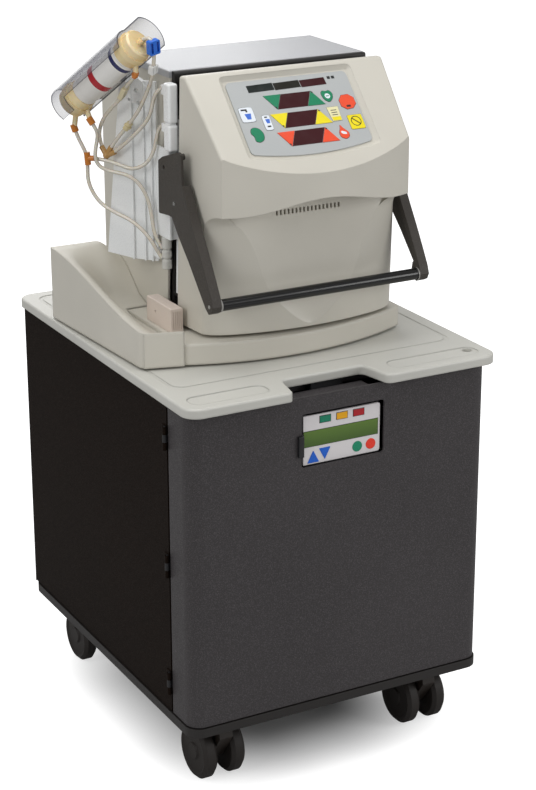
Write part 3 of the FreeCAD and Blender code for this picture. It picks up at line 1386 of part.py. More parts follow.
def make_tubing():
    lines = line_tubes()
    r = size.tube_radius
    tee = placed(Part.makeCylinder(r + 2, 22, Vector(-11, 0, 0), Vector(1, 0, 0)),
                 along(TEE_AT, (1, -1, -18)))
    branch = placed(Part.makeCylinder(r + 1.6, 13, Vector(), Vector(1, 0, 0)), along(TEE_AT, (17, -18, 2)))
    tee = tee.fuse(branch)
    wye = Part.makeSphere(r + 3, Vector(*WYE_AT) + set_shift())
    for way in ((4.5, -6, 12), (7.5, -9, 5), (-3.5, 7.5, 11)):
        wye = wye.fuse(placed(Part.makeCylinder(r + 1.3, 18, Vector(), Vector(1, 0, 0)), along(WYE_AT, way)))
    joiner = placed(Part.makeCylinder(r + 2.2, 15, Vector(-7.5, 0, 0), Vector(1, 0, 0)),
                    along(JOINER_AT, (-12, 20, -26.5)))
    ring = Part.makeCylinder(r + 3.6, 3, Vector(-1.5, 0, 0), Vector(1, 0, 0))
    rings = [placed(ring, along(JOINER_AT, (-12, 20, -26.5)))]
    joiner = joiner.fuse(rings)
    caps = [n for n in nodes if n.Label == "dialyser_caps"][0]
    couplers = []
    for name in ("line_lower", "line_upper"):
        first, second = ROUTES[name][:2]
        way = [b - a for a, b in zip(first, second)]
        coupler = Part.makeCylinder(r + 2.6, 13, Vector(-6, 0, 0), Vector(1, 0, 0))
        couplers.append(placed(coupler, along(first, way)))
    fittings = [thing.removeSplitter().cut(lines + [caps.Shape]) for thing in [tee, wye, joiner] + couplers]
    fittings = [sorted(f.Solids, key=lambda s: s.Volume)[-1] for f in fittings]
    node(solid("fittings", Part.makeCompound(fittings)), "line_fittings")
    clamps = []
    for at, way, length, width, height in ((BLUE_CLAMP_AT, (3, 4, -20), 24, 11, 20),
                                           (WHITE_CLAMP_AT, (3.5, 14, -28), 16, 9, 15),
                                           (BEIGE_CLAMP_AT, (-2, 19, -24), 24, 8, 17)):
        clamp = placed(clamp_shape(length, width, height), along(at, way)).cut(lines + [caps.Shape])
        clamps.append(sorted(clamp.Solids, key=lambda s: s.Volume)[-1])
    node(solid("clamps", Part.makeCompound(clamps)), "pinch_clamps")
    for name, tube in TUBES.items():
        node(solid(name + "_tube", tube), name)


def make_bracket():
    saddle = block(-172, -166, 1166.3, -150, -132, 1206)
    saddle = placed(saddle, organiser_placement())
    room = Part.makeCylinder(size.shield_radius + 0.2, 300, Vector(-150, 0, 0), Vector(1, 0, 0))
    organiser = [n for n in nodes if n.Label == "tube_organiser"][0]
    saddle = saddle.cut([placed(room, dialyser_placement()), organiser.Shape])
    node(solid("saddle", sorted(saddle.Solids, key=lambda s: s.Volume)[-1]), "shield_bracket")


def main():
    make_worktop()
    make_base_tray()
    make_cabinet()
    make_drawer_front()
    make_drawer_tub()
    make_control_unit()
    make_side_door()
    make_cart_insides()
    make_casters()
    make_cycler_base()
    make_shroud()
    make_leak_detector()
    make_rear_body()
    rod_holes = make_slot()
    make_pump()
    make_front_housing(rod_holes)
    make_fascia()
    make_handle()
    make_cartridge()
    make_dialyser()
    make_tubing()
    make_bracket()
    doc.recompute()
    write_out()


def write_out():
    """Checks every object, then writes one STEP file for each sub-part."""
    failed = [thing.Name for thing in doc.Objects if {"Invalid", "Error"} & set(thing.State)]
    if failed:
        raise RuntimeError("objects failed: " + ", ".join(failed))
    for thing in nodes:
        shape = thing.Shape
        if shape.isNull() or not shape.isValid() or not shape.Solids:
            raise RuntimeError("bad shape: " + thing.Label)
        shape.exportStep("parts/%s.step" % thing.Label)
    print("%d sub-parts" % len(nodes))


main()
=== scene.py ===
"""Looks of the home dialysis machine and its cart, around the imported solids.

Metres, X to the right, Y to the back, Z up, with the origin on the floor under the worktop.
"""
import math

import bmesh
import bpy
from mathutils import Matrix, Vector


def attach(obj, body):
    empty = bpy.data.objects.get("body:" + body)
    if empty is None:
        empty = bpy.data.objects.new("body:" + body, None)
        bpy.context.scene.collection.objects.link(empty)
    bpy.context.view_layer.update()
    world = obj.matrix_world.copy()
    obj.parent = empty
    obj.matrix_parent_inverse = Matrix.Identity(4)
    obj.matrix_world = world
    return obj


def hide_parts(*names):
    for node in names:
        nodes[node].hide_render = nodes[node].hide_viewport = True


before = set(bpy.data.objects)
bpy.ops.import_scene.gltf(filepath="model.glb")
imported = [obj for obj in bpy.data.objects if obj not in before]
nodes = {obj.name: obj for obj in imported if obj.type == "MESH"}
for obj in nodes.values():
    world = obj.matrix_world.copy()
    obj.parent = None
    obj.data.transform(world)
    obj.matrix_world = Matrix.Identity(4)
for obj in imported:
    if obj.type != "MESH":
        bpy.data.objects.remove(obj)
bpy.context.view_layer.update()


# Casters: four twin-wheel swivel casters of moulded nylon, with soft treads.
# Each wheel pair turns on an axle through the caster's rib, and the stem is pressed into the tray.

def shade(hex_colour):
    """A given colour, as the shader wants it."""
    parts = [int(hex_colour[i:i + 2], 16) / 255 for i in (0, 2, 4)]
    return [p / 12.92 if p <= 0.04045 else ((p + 0.055) / 1.055) ** 2.4 for p in parts] + [1.0]


def empty_finish(name):
    """A new material with its shader, ready for a finish."""
    material = bpy.data.materials.new(name)
    material.use_nodes = True
    tree = material.node_tree
    return material, tree, tree.nodes["Principled BSDF"]


def noise_at(tree, scale, detail=3.0, roughness=0.55, stretch=(1, 1, 1)):
    """Noise fixed to the object, at so many grains per metre."""
    place = tree.nodes.new("ShaderNodeTexCoord")
    mapping = tree.nodes.new("ShaderNodeMapping")
    mapping.inputs["Scale"].default_value = stretch
    tree.links.new(place.outputs["Object"], mapping.inputs["Vector"])
    noise = tree.nodes.new("ShaderNodeTexNoise")
    noise.inputs["Scale"].default_value = scale
    noise.inputs["Detail"].default_value = detail
    noise.inputs["Roughness"].default_value = roughness
    tree.links.new(mapping.outputs["Vector"], noise.inputs["Vector"])
    return noise.outputs["Fac"]


def between(tree, factor, low, high, start=0.3, end=0.7):
    """A ramp from one colour to another over part of a factor."""
    ramp = tree.nodes.new("ShaderNodeValToRGB")
    ramp.color_ramp.elements[0].position = start
    ramp.color_ramp.elements[0].color = low
    ramp.color_ramp.elements[1].position = end
    ramp.color_ramp.elements[1].color = high
    tree.links.new(factor, ramp.inputs["Fac"])
    return ramp.outputs["Color"]


def remapped(tree, value, source, target):
    """A number carried from one range to another, and held at its ends."""
    span = tree.nodes.new("ShaderNodeMapRange")
    for name, number in zip(("From Min", "From Max", "To Min", "To Max"), (*source, *target)):
        span.inputs[name].default_value = number
    tree.links.new(value, span.inputs["Value"])
    return span.outputs["Result"]


def level(tree, noise, low, high):
    """A number between two values, by the middle of a noise's range."""
    return remapped(tree, noise, (0.3, 0.7), (low, high))


def grain_on(tree, shader, height, depth, edge):
    """Surface grain, on edges that a mould leaves slightly round."""
    soft = tree.nodes.new("ShaderNodeBevel")
    soft.samples = 4
    soft.inputs["Radius"].default_value = edge
    bump = tree.nodes.new("ShaderNodeBump")
    bump.inputs["Strength"].default_value = 0.6
    bump.inputs["Distance"].default_value = depth
    tree.links.new(height, bump.inputs["Height"])
    tree.links.new(soft.outputs["Normal"], bump.inputs["Normal"])
    tree.links.new(bump.outputs["Normal"], shader.inputs["Normal"])


def scaled(colour, by):
    """A lighter or darker tone of the same colour."""
    return [min(1.0, c * by) for c in colour[:3]] + [1.0]


def moulded_plastic(name, tone, rough=0.45, grain=1400, depth=0.00006, blotch=0.04, edge=0.0012):
    """Injection-moulded plastic: fine spark grain and a faint, broad unevenness."""
    material, tree, shader = empty_finish(name)
    colour = shade(tone)
    broad = noise_at(tree, 7, 2)
    tree.links.new(between(tree, broad, scaled(colour, 1 - blotch), scaled(colour, 1 + blotch)),
                   shader.inputs["Base Color"])
    fine = noise_at(tree, grain, 2)
    tree.links.new(level(tree, fine, rough - 0.06, rough + 0.08), shader.inputs["Roughness"])
    grain_on(tree, shader, fine, depth, edge)
    return material


def wear(material, *names):
    """Gives CAD nodes their finish."""
    for name in names:
        slots = nodes[name].data.materials
        slots.clear()
        slots.append(material)


caster_nylon = moulded_plastic("caster nylon", "2A231E", 0.42, 900, 0.00008)
caster_tread = moulded_plastic("caster tread", "221C18", 0.6, 700, 0.00012)
CASTERS = ("front_left", "front_right", "rear_left", "rear_right")
for corner in CASTERS:
    wear(caster_nylon, "caster_fork_" + corner)
    wear(caster_tread, "caster_wheels_" + corner)


# Cart cabinet: folded sheet steel with a coarse dark powder coat, on a black moulded tray.
# The right and rear walls are one sheet, and the front panel is the face of the big drawer.

def mixed(tree, factor, first, second, blend="MIX"):
    """Two colours in one. The factor and the colours are sockets or plain values."""
    mix = tree.nodes.new("ShaderNodeMix")
    mix.data_type = "RGBA"
    mix.blend_type = blend
    for name, value in (("Factor", factor), ("A", first), ("B", second)):
        if isinstance(value, bpy.types.NodeSocket):
            tree.links.new(value, mix.inputs[name])
        else:
            mix.inputs[name].default_value = value
    return mix.outputs["Result"]


def powder_coat(name, tone, fleck, rough=0.5, sheen=0.22):
    """Textured powder coat: an even leathery grain with paler flecks on its tops."""
    material, tree, shader = empty_finish(name)
    colour = shade(tone)
    grain = noise_at(tree, 620, 4, 0.6)
    flecks = between(tree, grain, colour, shade(fleck), 0.50, 0.68)
    broad = noise_at(tree, 3.5, 2)
    uneven = between(tree, broad, scaled(colour, 0.86), scaled(colour, 1.12))
    tree.links.new(mixed(tree, 0.5, flecks, uneven), shader.inputs["Base Color"])
    tree.links.new(level(tree, grain, rough + 0.08, rough - 0.08), shader.inputs["Roughness"])
    shader.inputs["Specular IOR Level"].default_value = sheen
    grain_on(tree, shader, grain, 0.00045, 0.0015)
    return material


tray_black = moulded_plastic("tray black", "1E1A18", 0.5, 500, 0.00015)
wear(powder_coat("cart powder coat", "403D3E", "706C6E"), "cabinet_frame", "drawer_front")
# The side door wears a darker, browner copy of the cart's coat, which paints the shade on the side turned
# away from the light.
wear(powder_coat("door coat with painted shade", "150D08", "33261C", 0.6, 0.06), "side_door")
wear(tray_black, "base_tray", "power_inlet")


# Drawer and what is in the cart: a pale moulded tub with the fluid bag, on rolled steel slides.
# The transfer pump is a casting, and stands in the bay behind the side door.

def rolled_steel(name, tone, rough=0.3):
    """Bright steel with rolling lines along its length."""
    material, tree, shader = empty_finish(name)
    lines = noise_at(tree, 240, 3, 0.6, (1, 0.04, 1))
    colour = shade(tone)
    tree.links.new(between(tree, lines, scaled(colour, 0.82), colour), shader.inputs["Base Color"])
    tree.links.new(level(tree, lines, rough - 0.08, rough + 0.12), shader.inputs["Roughness"])
    shader.inputs["Metallic"].default_value = 1.0
    grain_on(tree, shader, lines, 0.00004, 0.0008)
    return material


wear(moulded_plastic("tub grey", "9E9D98", 0.5), "drawer_tub")
wear(moulded_plastic("fluid bag film", "CDD2D3", 0.25, 60, 0.0008, 0.06), "fluid_tank")
wear(rolled_steel("slide steel", "9C9C9B"), "slide_rails_fixed", "slide_rails_moving")
wear(rolled_steel("ground rod steel", "B5B5B3", 0.2), "guide_rods", "pivot_pins")
wear(moulded_plastic("pump casting", "8B8C8E", 0.4, 300, 0.0003), "transfer_pump", "pump_motor")


# Cart control unit: a black case behind a pale film, with lamps, a display and flat keys.
# It hangs from the front rail and shows through the drawer's window.

wear(moulded_plastic("unit case black", "17171A", 0.5), "control_unit", "door_hinges")


def lit_by_height(name, low, high, low_z, high_z, rough):
    """Display glass that is darker towards its foot, which is painted shade."""
    material, tree, shader = empty_finish(name)
    place = tree.nodes.new("ShaderNodeTexCoord")
    split = tree.nodes.new("ShaderNodeSeparateXYZ")
    tree.links.new(place.outputs["Object"], split.inputs["Vector"])
    height = remapped(tree, split.outputs["Z"], (low_z, high_z), (0, 1))
    tree.links.new(between(tree, height, low, high, 0.0, 1.0), shader.inputs["Base Color"])
    shader.inputs["Roughness"].default_value = rough
    return material


def eased(outline, *shares):
    """The outline with its corners cut round, each time by a share of the sides."""
    for near in shares:
        far = 1 - near
        cut = []
        for (x0, y0), (x1, y1) in zip(outline, outline[1:] + outline[:1]):
            cut.append((far * x0 + near * x1, far * y0 + near * y1))
            cut.append((near * x0 + far * x1, near * y0 + far * y1))
        outline = cut
    return outline


def grown(outline, by):
    """The outline pushed out from its middle by so many millimetres."""
    mid_x = sum(x for x, _ in outline) / len(outline)
    mid_y = sum(y for _, y in outline) / len(outline)
    pushed = []
    for x, y in outline:
        reach = math.hypot(x - mid_x, y - mid_y)
        grow = (reach + by) / reach
        pushed.append((mid_x + (x - mid_x) * grow, mid_y + (y - mid_y) * grow))
    return pushed


def rectangle(left, top, right, bottom):
    """The outline of a square-cornered patch."""
    return [(left, top), (right, top), (right, bottom), (left, bottom)]


def ring_points(across, down, radius, count=28):
    """The outline of a round patch."""
    return [(across + radius * math.cos(math.tau * i / count), down + radius * math.sin(math.tau * i / count))
            for i in range(count)]


class FilmPrint:
    """Collects patches of a film's print into one mesh with a material for each colour."""

    CHAMFER = 0.25

    def __init__(self, name, node, slot, body, place):
        self.name, self.node, self.slot, self.body, self.place = name, node, slot, body, place
        self.points, self.faces, self.face_slots, self.materials = [], [], [], []

    def patch(self, outline, material, low, high, soft=()):
        """Adds a flat patch between two heights, with its corners eased."""
        outline = eased(list(outline), *soft)
        if material not in self.materials:
            self.materials.append(material)
        slot = self.materials.index(material)
        count, first = len(outline), len(self.points)
        area = sum(x0 * y1 - x1 * y0 for (x0, y0), (x1, y1) in zip(outline, outline[1:] + outline[:1]))
        if area > 0:
            outline = outline[::-1]
        self.points += [self.place(x, y, low) for x, y in outline]
        self.points += [self.place(x, y, high) for x, y in grown(outline, -self.CHAMFER)]
        self.faces.append(tuple(range(first + count, first + 2 * count)))
        for i in range(count):
            after = (i + 1) % count
            self.faces.append((first + i, first + after, first + count + after, first + count + i))
        self.face_slots += [slot] * (count + 1)

    def finish(self):
        """Makes the mesh, which stands for a CAD node."""
        mesh = bpy.data.meshes.new(self.name)
        mesh.from_pydata(self.points, [], self.faces)
        for material in self.materials:
            mesh.materials.append(material)
        mesh.polygons.foreach_set("material_index", self.face_slots)
        mesh.update()
        piece = bpy.data.objects.new(self.name, mesh)
        bpy.context.scene.collection.objects.link(piece)
        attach(piece, self.body)
        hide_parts(self.node)


PANEL_TOP = Vector((0, -0.331, 0.661))


def on_panel(across, down, height):
    """A place on the panel, from millimetres across it, down it and out of it."""
    return PANEL_TOP + Vector((across, -height, -down)) / 1000


print_black = moulded_plastic("print black", "1B1B1D", 0.4, 900, 0.00001)
panel = FilmPrint("panel_face", "control_panel", "panel_film", "cart", on_panel)
film_outline = [(-73.5, 0), (69.5, 0), (71.8, 0.7), (73, 2), (73.5, 4), (73.5, 82), (73, 84), (71.8, 85.3),
                (69.5, 86), (-73.5, 86)]
panel_film = moulded_plastic("panel film", "E3DFE0", 0.32, 2200, 0.00003, 0.02)
panel.patch(film_outline, panel_film, -3, 0)
panel.finish()

panel_display = FilmPrint("panel_display", "lcd_window", "lcd_glass", "cart", on_panel)
# The display glass's darker foot is painted shade.
green_glass = lit_by_height("cart display glass", shade("42601F"), shade("5F7F2E"), 0.605, 0.635, 0.12)
panel_display.patch(rectangle(-73.2, 26.6, 70.2, 55.4), print_black, 0, 0.15)
panel_display.patch(rectangle(-72.6, 27.4, 69.4, 54.6), green_glass, 0.15, 0.6)
panel_display.finish()

panel_lamps = FilmPrint("panel_lamps", "status_lamps", "lamp_plastic", "cart", on_panel)
for middle, tint in ((-32, "00805F"), (0, "F4B000"), (32, "B4101C")):
    lens = moulded_plastic("lamp lens " + tint, tint, 0.22, 120, 0.00004, 0.1)
    panel_lamps.patch(rectangle(middle - 11.2, 3.4, middle + 11.2, 16.6), print_black, 0, 0.2)
    panel_lamps.patch(rectangle(middle - 10.2, 4.4, middle + 10.2, 15.6), lens, 0.2, 0.9)
panel_lamps.finish()

panel_keys = FilmPrint("panel_keys", "cart_keys", "key_film", "cart", on_panel)
arrow_blue = moulded_plastic("arrow key blue", "0B62D2", 0.3, 900, 0.00002)
start_green = moulded_plastic("start key green", "008C66", 0.3, 900, 0.00002)
stop_red = moulded_plastic("stop key red", "F03A24", 0.3, 900, 0.00002)
panel_keys.patch([(-54.5, 62), (-43.3, 83.5), (-65.7, 83.5)], arrow_blue, 0, 0.7, (0.04,))
panel_keys.patch([(-43.5, 60.5), (-21.5, 60.5), (-32.5, 81.5)], arrow_blue, 0, 0.7, (0.04,))
panel_keys.patch(ring_points(30, 70.5, 9.4), start_green, 0, 0.7)
panel_keys.patch(ring_points(56, 70.5, 9.4), stop_red, 0, 0.7)
panel_keys.finish()


def soft_block(name, low, high, edge, material, body):
    """A small moulded block with rounded edges, from two corners in metres."""
    mesh = bpy.data.meshes.new(name)
    shape = bmesh.new()
    bmesh.ops.create_cube(shape, size=1.0)
    middle = [(a + b) / 2 for a, b in zip(low, high)]
    for corner in shape.verts:
        corner.co = [m + c * (b - a) for m, c, a, b in zip(middle, corner.co, low, high)]
    bmesh.ops.bevel(shape, geom=shape.edges[:], offset=edge, segments=4, profile=0.5, affect="EDGES")
    shape.to_mesh(mesh)
    shape.free()
    mesh.polygons.foreach_set("use_smooth", [True] * len(mesh.polygons))
    mesh.materials.append(material)
    piece = bpy.data.objects.new(name, mesh)
    bpy.context.scene.collection.objects.link(piece)
    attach(piece, body)


CATCH_LOW = (-0.0870, -0.3420, 0.594)
CATCH_HIGH = (-0.0770, -0.3350, 0.631)
soft_block("window_catch", CATCH_LOW, CATCH_HIGH, 0.0012, print_black, "drawer")


# Worktop: one thick vacuum-moulded sheet in a pale warm grey, with shallow dishes and a
# notch over the drawer's pull. It is screwed to the cabinet's rails from below.

wear(moulded_plastic("worktop grey", "CBCAC3", 0.36, 800, 0.0001, 0.03, 0.004), "worktop")


# Cycler's base and the shroud beside it: injection mouldings with soft edges, on rubber feet.
# They stand on the worktop, and the small ribbed leak detector sits in the shroud's trough.

wear(moulded_plastic("shroud grey", "D0CCC1", 0.42, 1300, 0.00008, 0.03, 0.006), "cycler_base", "left_shroud")
wear(tray_black, "cycler_feet")
wear(moulded_plastic("detector beige", "DDCFC4", 0.45), "leak_detector")


# Front housing and rear body: thick moulded shells in the same grey, with a fine spark grain.
# The front one slides forward on the guide rods, and the rear one is screwed to the base.

housing_grey = moulded_plastic("housing grey", "D0CCC1", 0.38, 1300, 0.00008, 0.03, 0.0025)
wear(housing_grey, "front_housing", "rear_body")


# Lid of the cycler: a flat pressed plate, sprayed with a paint that has a fine metallic speckle.
# It is screwed down on the rear body, over a dark gap at its front edge.

def speckled_paint(name, tone, speck):
    """Sprayed paint with small darker specks in it, a little metallic."""
    material, tree, shader = empty_finish(name)
    specks = noise_at(tree, 2600, 2, 0.7)
    tree.links.new(between(tree, specks, shade(tone), shade(speck), 0.52, 0.6), shader.inputs["Base Color"])
    shader.inputs["Metallic"].default_value = 0.25
    tree.links.new(level(tree, specks, 0.32, 0.5), shader.inputs["Roughness"])
    grain_on(tree, shader, specks, 0.00008, 0.0015)
    return material


wear(speckled_paint("lid speckle", "C2C3C6", "A9AAAD"), "top_cover")


# Cartridge slot: black moulded plates on each side of the disposable cartridge.
# The rear one carries the rods and the blood pump, and the front one moves with the housing.

wear(moulded_plastic("slot black", "1D1B1A", 0.5), "slot_frame", "pressure_plate")
wear(moulded_plastic("rotor grey", "8F8F8D", 0.35), "pump_rotor")


# Control plate in the slope's recess: a printed film with dark number displays and flat keys.
# Each key is a printed patch with a fine black outline, over a dome switch under the film.

SLOPE_TOP = Vector((0, -0.098, 1.190))
RECESS_DEPTH = 0.005
slope_up = Vector((0, 0.142, 0.150)).normalized()
slope_out = Vector((1, 0, 0)).cross(slope_up)
film_top = SLOPE_TOP - slope_out * RECESS_DEPTH


def on_film(across, down, height):
    """A place on the film, from millimetres across it, down it and above it."""
    return film_top + Vector((across / 1000, 0, 0)) - slope_up * (down / 1000) + slope_out * (height / 1000)


# Millimetres above the film: display glass, key outlines, key faces and the marks on them
GLASS = (0, 0.35)
OUTLINE = (0, 0.2)
FACE = (0.2, 0.75)
MARK = (0.75, 0.79)
ROWS = (49.0, 85.2, 120.4)
ROW_HEIGHT = 28.2

wear(moulded_plastic("control film", "B4B7B7", 0.38, 2200, 0.00003, 0.02), "control_fascia")
displays = FilmPrint("film_displays", "display_windows", "display_glass", "housing", on_film)
for left, right, tint in ((-61, -12, "1A2220"), (-11.2, 38, "22211A"), (38.8, 87, "3A0F14")):
    glass = moulded_plastic("bar glass " + tint, tint, 0.14, 60, 0.00001, 0.10)
    displays.patch([(left, 26.6), (right, 25.4), (right + 1, 39.4), (left + 1, 40.4)], glass, *GLASS)
red_glass = moulded_plastic("number glass", "3C1116", 0.14, 60, 0.00001, 0.12)
for top in ROWS:
    low = top + ROW_HEIGHT
    displays.patch([(-4.2, top), (52.0, top), (37.2, low), (-19.0, low)], red_glass, *GLASS)
displays.finish()

keys = FilmPrint("film_keys", "fascia_keys", "key_film", "housing", on_film)

# Shares of the sides that easing takes off the corners
ROUND = (0.22, 0.22)
SQUARE = (0.10, 0.25)
ONCE = (0.22,)


def ink(name, tone):
    """One colour of the film's print."""
    return moulded_plastic("key " + name, tone, 0.32, 900, 0.00002)


def key(outline, colour, soft=(), rim=0.7):
    """One printed key with its fine black outline."""
    keys.patch(grown(eased(list(outline), *soft), rim), print_black, *OUTLINE)
    keys.patch(outline, colour, *FACE, soft)


key_green = ink("green", "12825A")
key_yellow = ink("yellow", "F2DF1C")
key_orange = ink("orange", "EE5230")
key_white = ink("white", "E6ECF2")
key_cream = ink("cream", "E9E3B4")
key_blue = ink("blue", "3F6FD0")
for top, colour in zip(ROWS, (key_green, key_yellow, key_orange)):
    low = top + ROW_HEIGHT
    key([(-37.5, top), (-4.8, top), (-19.6, low)], colour, (), 0.5)
    key([(52.6, top), (71.0, low), (37.8, low)], colour, (), 0.5)
    corner_marks = ([(-23, top + 23), (-20, top + 23), (-20, top + 26), (-21.5, top + 26)],
                    [(52.4, top + 1.5), (54.2, top + 1.5), (56, top + 4.5), (52.4, top + 4.5)])
    for outline in corner_marks:
        keys.patch(outline, print_black, *MARK)
for left in (93, 101):
    keys.patch(rectangle(left, 24.5, left + 6, 30), print_black, *OUTLINE)
key(rectangle(-91, 66.5, -65.3, 95), key_white, SQUARE)
keys.patch([(-83, 79), (-71, 79), (-73.5, 90), (-80.5, 90)], key_blue, *MARK)
keys.patch([(-87, 70), (-76, 70), (-76, 76), (-79, 76), (-79, 73), (-87, 73)], print_black, *MARK)
key(rectangle(-54.5, 85.2, -40, 114), key_white, SQUARE)
keys.patch([(-50, 93), (-41.5, 93), (-43, 101), (-48.6, 101)], key_blue, *MARK)
keys.patch(rectangle(-50, 88, -45, 90.5), print_black, *MARK)
keys.patch(rectangle(-50, 105.5, -43.5, 108.5), print_black, *MARK)
key([(-82, 108), (-74, 105.5), (-65.8, 109.5), (-61.5, 119), (-64, 130), (-73.5, 134.8), (-81, 131),
     (-79.5, 122.5), (-84.5, 117)], key_green, ROUND)
key([(69.5, 56), (74, 51), (80, 53.5), (86, 51), (91, 57.5), (89, 67), (80, 75), (71.5, 68)],
    key_green, ONCE)
keys.patch(ring_points(80, 62.5, 5, 20), key_white, *MARK)
keys.patch(rectangle(77, 61.7, 83, 63.3), key_green, 0.79, 0.82)
key([(98.2, 73), (105.5, 64), (118.5, 63.4), (127, 70.5), (127.5, 82.5), (119.5, 90.5), (107.5, 91.8),
     (98.6, 85)], key_orange)
keys.patch(rectangle(108, 84, 116, 88), print_black, *MARK)
key([(69.5, 84), (91, 84), (89.8, 111.3), (72.2, 111.3)], key_cream)
for down in (90, 94.5, 99):
    keys.patch(rectangle(75, down, 86, down + 1.4), print_black, *MARK)
keys.patch([(72.6, 103.5), (89.6, 103.5), (89.2, 110.6), (73.2, 110.6)], key_yellow, *MARK)
key(rectangle(101, 103.6, 128, 131), key_yellow, (0.06,))
outer_ring, inner_ring = ring_points(114.5, 116, 9.6), ring_points(114.5, 116, 8.2)
for i in range(len(outer_ring)):
    after = (i + 1) % len(outer_ring)
    keys.patch([outer_ring[i], outer_ring[after], inner_ring[after], inner_ring[i]], print_black, *MARK)
keys.patch([(107.2, 110.4), (108.6, 109.0), (121.8, 121.8), (120.4, 123.2)], print_black, *MARK)
key([(81, 119), (86, 127.5), (92.6, 134), (92.4, 142.5), (84, 147.5), (75.4, 143), (75, 134), (79, 127.5)],
    key_orange, ONCE)
keys.patch([(78.6, 130.5), (88.5, 134.5), (88.5, 139), (78.8, 137)], key_white, *MARK, ONCE)
keys.finish()


# Lift handle: two dark painted steel arms, bent from plate, on pins at the housing's sides.
# A black lacquered bar joins them, with a bright collar and a screw at each end.

def vector_step(tree, operation, first, second=None):
    """One sum on vectors, with a socket or a plain vector for each input."""
    step = tree.nodes.new("ShaderNodeVectorMath")
    step.operation = operation
    for socket, value in zip(step.inputs, (first, second)):
        if isinstance(value, bpy.types.NodeSocket):
            tree.links.new(value, socket)
        elif value is not None:
            socket.default_value = value
    return step


def by_position(name, axis, steps, rough=0.3):
    """Colours that change at places along an axis: (from where, colour)."""
    material, tree, shader = empty_finish(name)
    place = tree.nodes.new("ShaderNodeTexCoord")
    along = vector_step(tree, "DOT_PRODUCT", place.outputs["Object"], axis).outputs["Value"]
    # The last colour is held beyond the ramp, so a short stretch is enough for it
    first, last = steps[0][0], steps[-1][0] + 0.02
    ramp = tree.nodes.new("ShaderNodeValToRGB")
    ramp.color_ramp.interpolation = "CONSTANT"
    elements = ramp.color_ramp.elements
    while len(elements) < len(steps):
        elements.new(0.5)
    for element, (start, colour) in zip(elements, steps):
        element.position = (start - first) / (last - first)
        element.color = shade(colour)
    elements[0].position = 0.0
    tree.links.new(remapped(tree, along, (first, last), (0, 1)), ramp.inputs["Fac"])
    cloud = between(tree, noise_at(tree, 30, 2), (0.96, 0.96, 0.96, 1), (1, 1, 1, 1))
    tree.links.new(mixed(tree, 1.0, ramp.outputs["Color"], cloud, "MULTIPLY"), shader.inputs["Base Color"])
    shader.inputs["Roughness"].default_value = rough
    grain_on(tree, shader, noise_at(tree, 1200, 2), 0.00003, 0.0006)
    return material


wear(powder_coat("arm paint", "44403C", "5E5A55", 0.5), "handle_arm_left", "handle_arm_right")
bar_colours = [(-0.19, "9C9B97"), (-0.1665, "151515"), (0.2105, "9C9B97")]
wear(by_position("bar lacquer", (1, 0, 0), bar_colours, 0.2), "handle_bar")


# Disposable cartridge: milky white polycarbonate, with the organiser that holds the lines.
# The pods and the post are clipped to it, and the whole slides into the slot from the left.

cartridge_white = moulded_plastic("cartridge white", "F4F6F6", 0.28, 500, 0.00006, 0.02)
milky = cartridge_white.node_tree.nodes["Principled BSDF"]
milky.inputs["Subsurface Weight"].default_value = 0.35
milky.inputs["Subsurface Radius"].default_value = (0.02, 0.02, 0.02)
wear(cartridge_white, "cartridge_blade", "tube_organiser", "pressure_pods", "shield_bracket")
wear(moulded_plastic("post grey", "CBCAC4", 0.3), "tube_post")


# Filter: a clear tube of fibres with a plain sleeve and cream caps, in a smoke-clear shield.
# The caps are glued on, and the shield is an open clear tube that snaps round them.

AXIS = Vector((81, -150, 137)).normalized()
FILTER_MIDDLE = Vector((-0.2485, 0.022, 1.1865))
middle_along = FILTER_MIDDLE.dot(AXIS)
bands = [(-0.08, "E4E1DC"), (-0.022, "B3232E"), (-0.010, "ECEAE6"), (0.034, "2B2F5E"), (0.042, "ECEAE6")]
sleeve = [(middle_along + offset, colour) for offset, colour in bands]
wear(by_position("filter sleeve", AXIS, sleeve, 0.2), "dialyser_case")


def resin(name, tone, rim_tone, glow, rough=0.2):
    """Clear resin that light soaks into, darker where it is seen edge on."""
    material, tree, shader = empty_finish(name)
    colour = shade(tone)
    thick = tree.nodes.new("ShaderNodeLayerWeight")
    thick.inputs["Blend"].default_value = 0.4
    cloudy = between(tree, noise_at(tree, 60, 2), scaled(colour, 0.92), colour)
    tree.links.new(mixed(tree, thick.outputs["Facing"], cloudy, shade(rim_tone)), shader.inputs["Base Color"])
    shader.inputs["Roughness"].default_value = rough
    shader.inputs["Subsurface Weight"].default_value = glow
    shader.inputs["Subsurface Radius"].default_value = (0.006, 0.004, 0.002)
    shader.inputs["Coat Weight"].default_value = 0.4
    return material


wear(resin("cap cream", "F7E6BC", "D2A94E", 0.4), "dialyser_caps")

# How far a face looks away from the shield's axis, from its cut edges to its walls
CUT_EDGE = (0.35, 0.6)


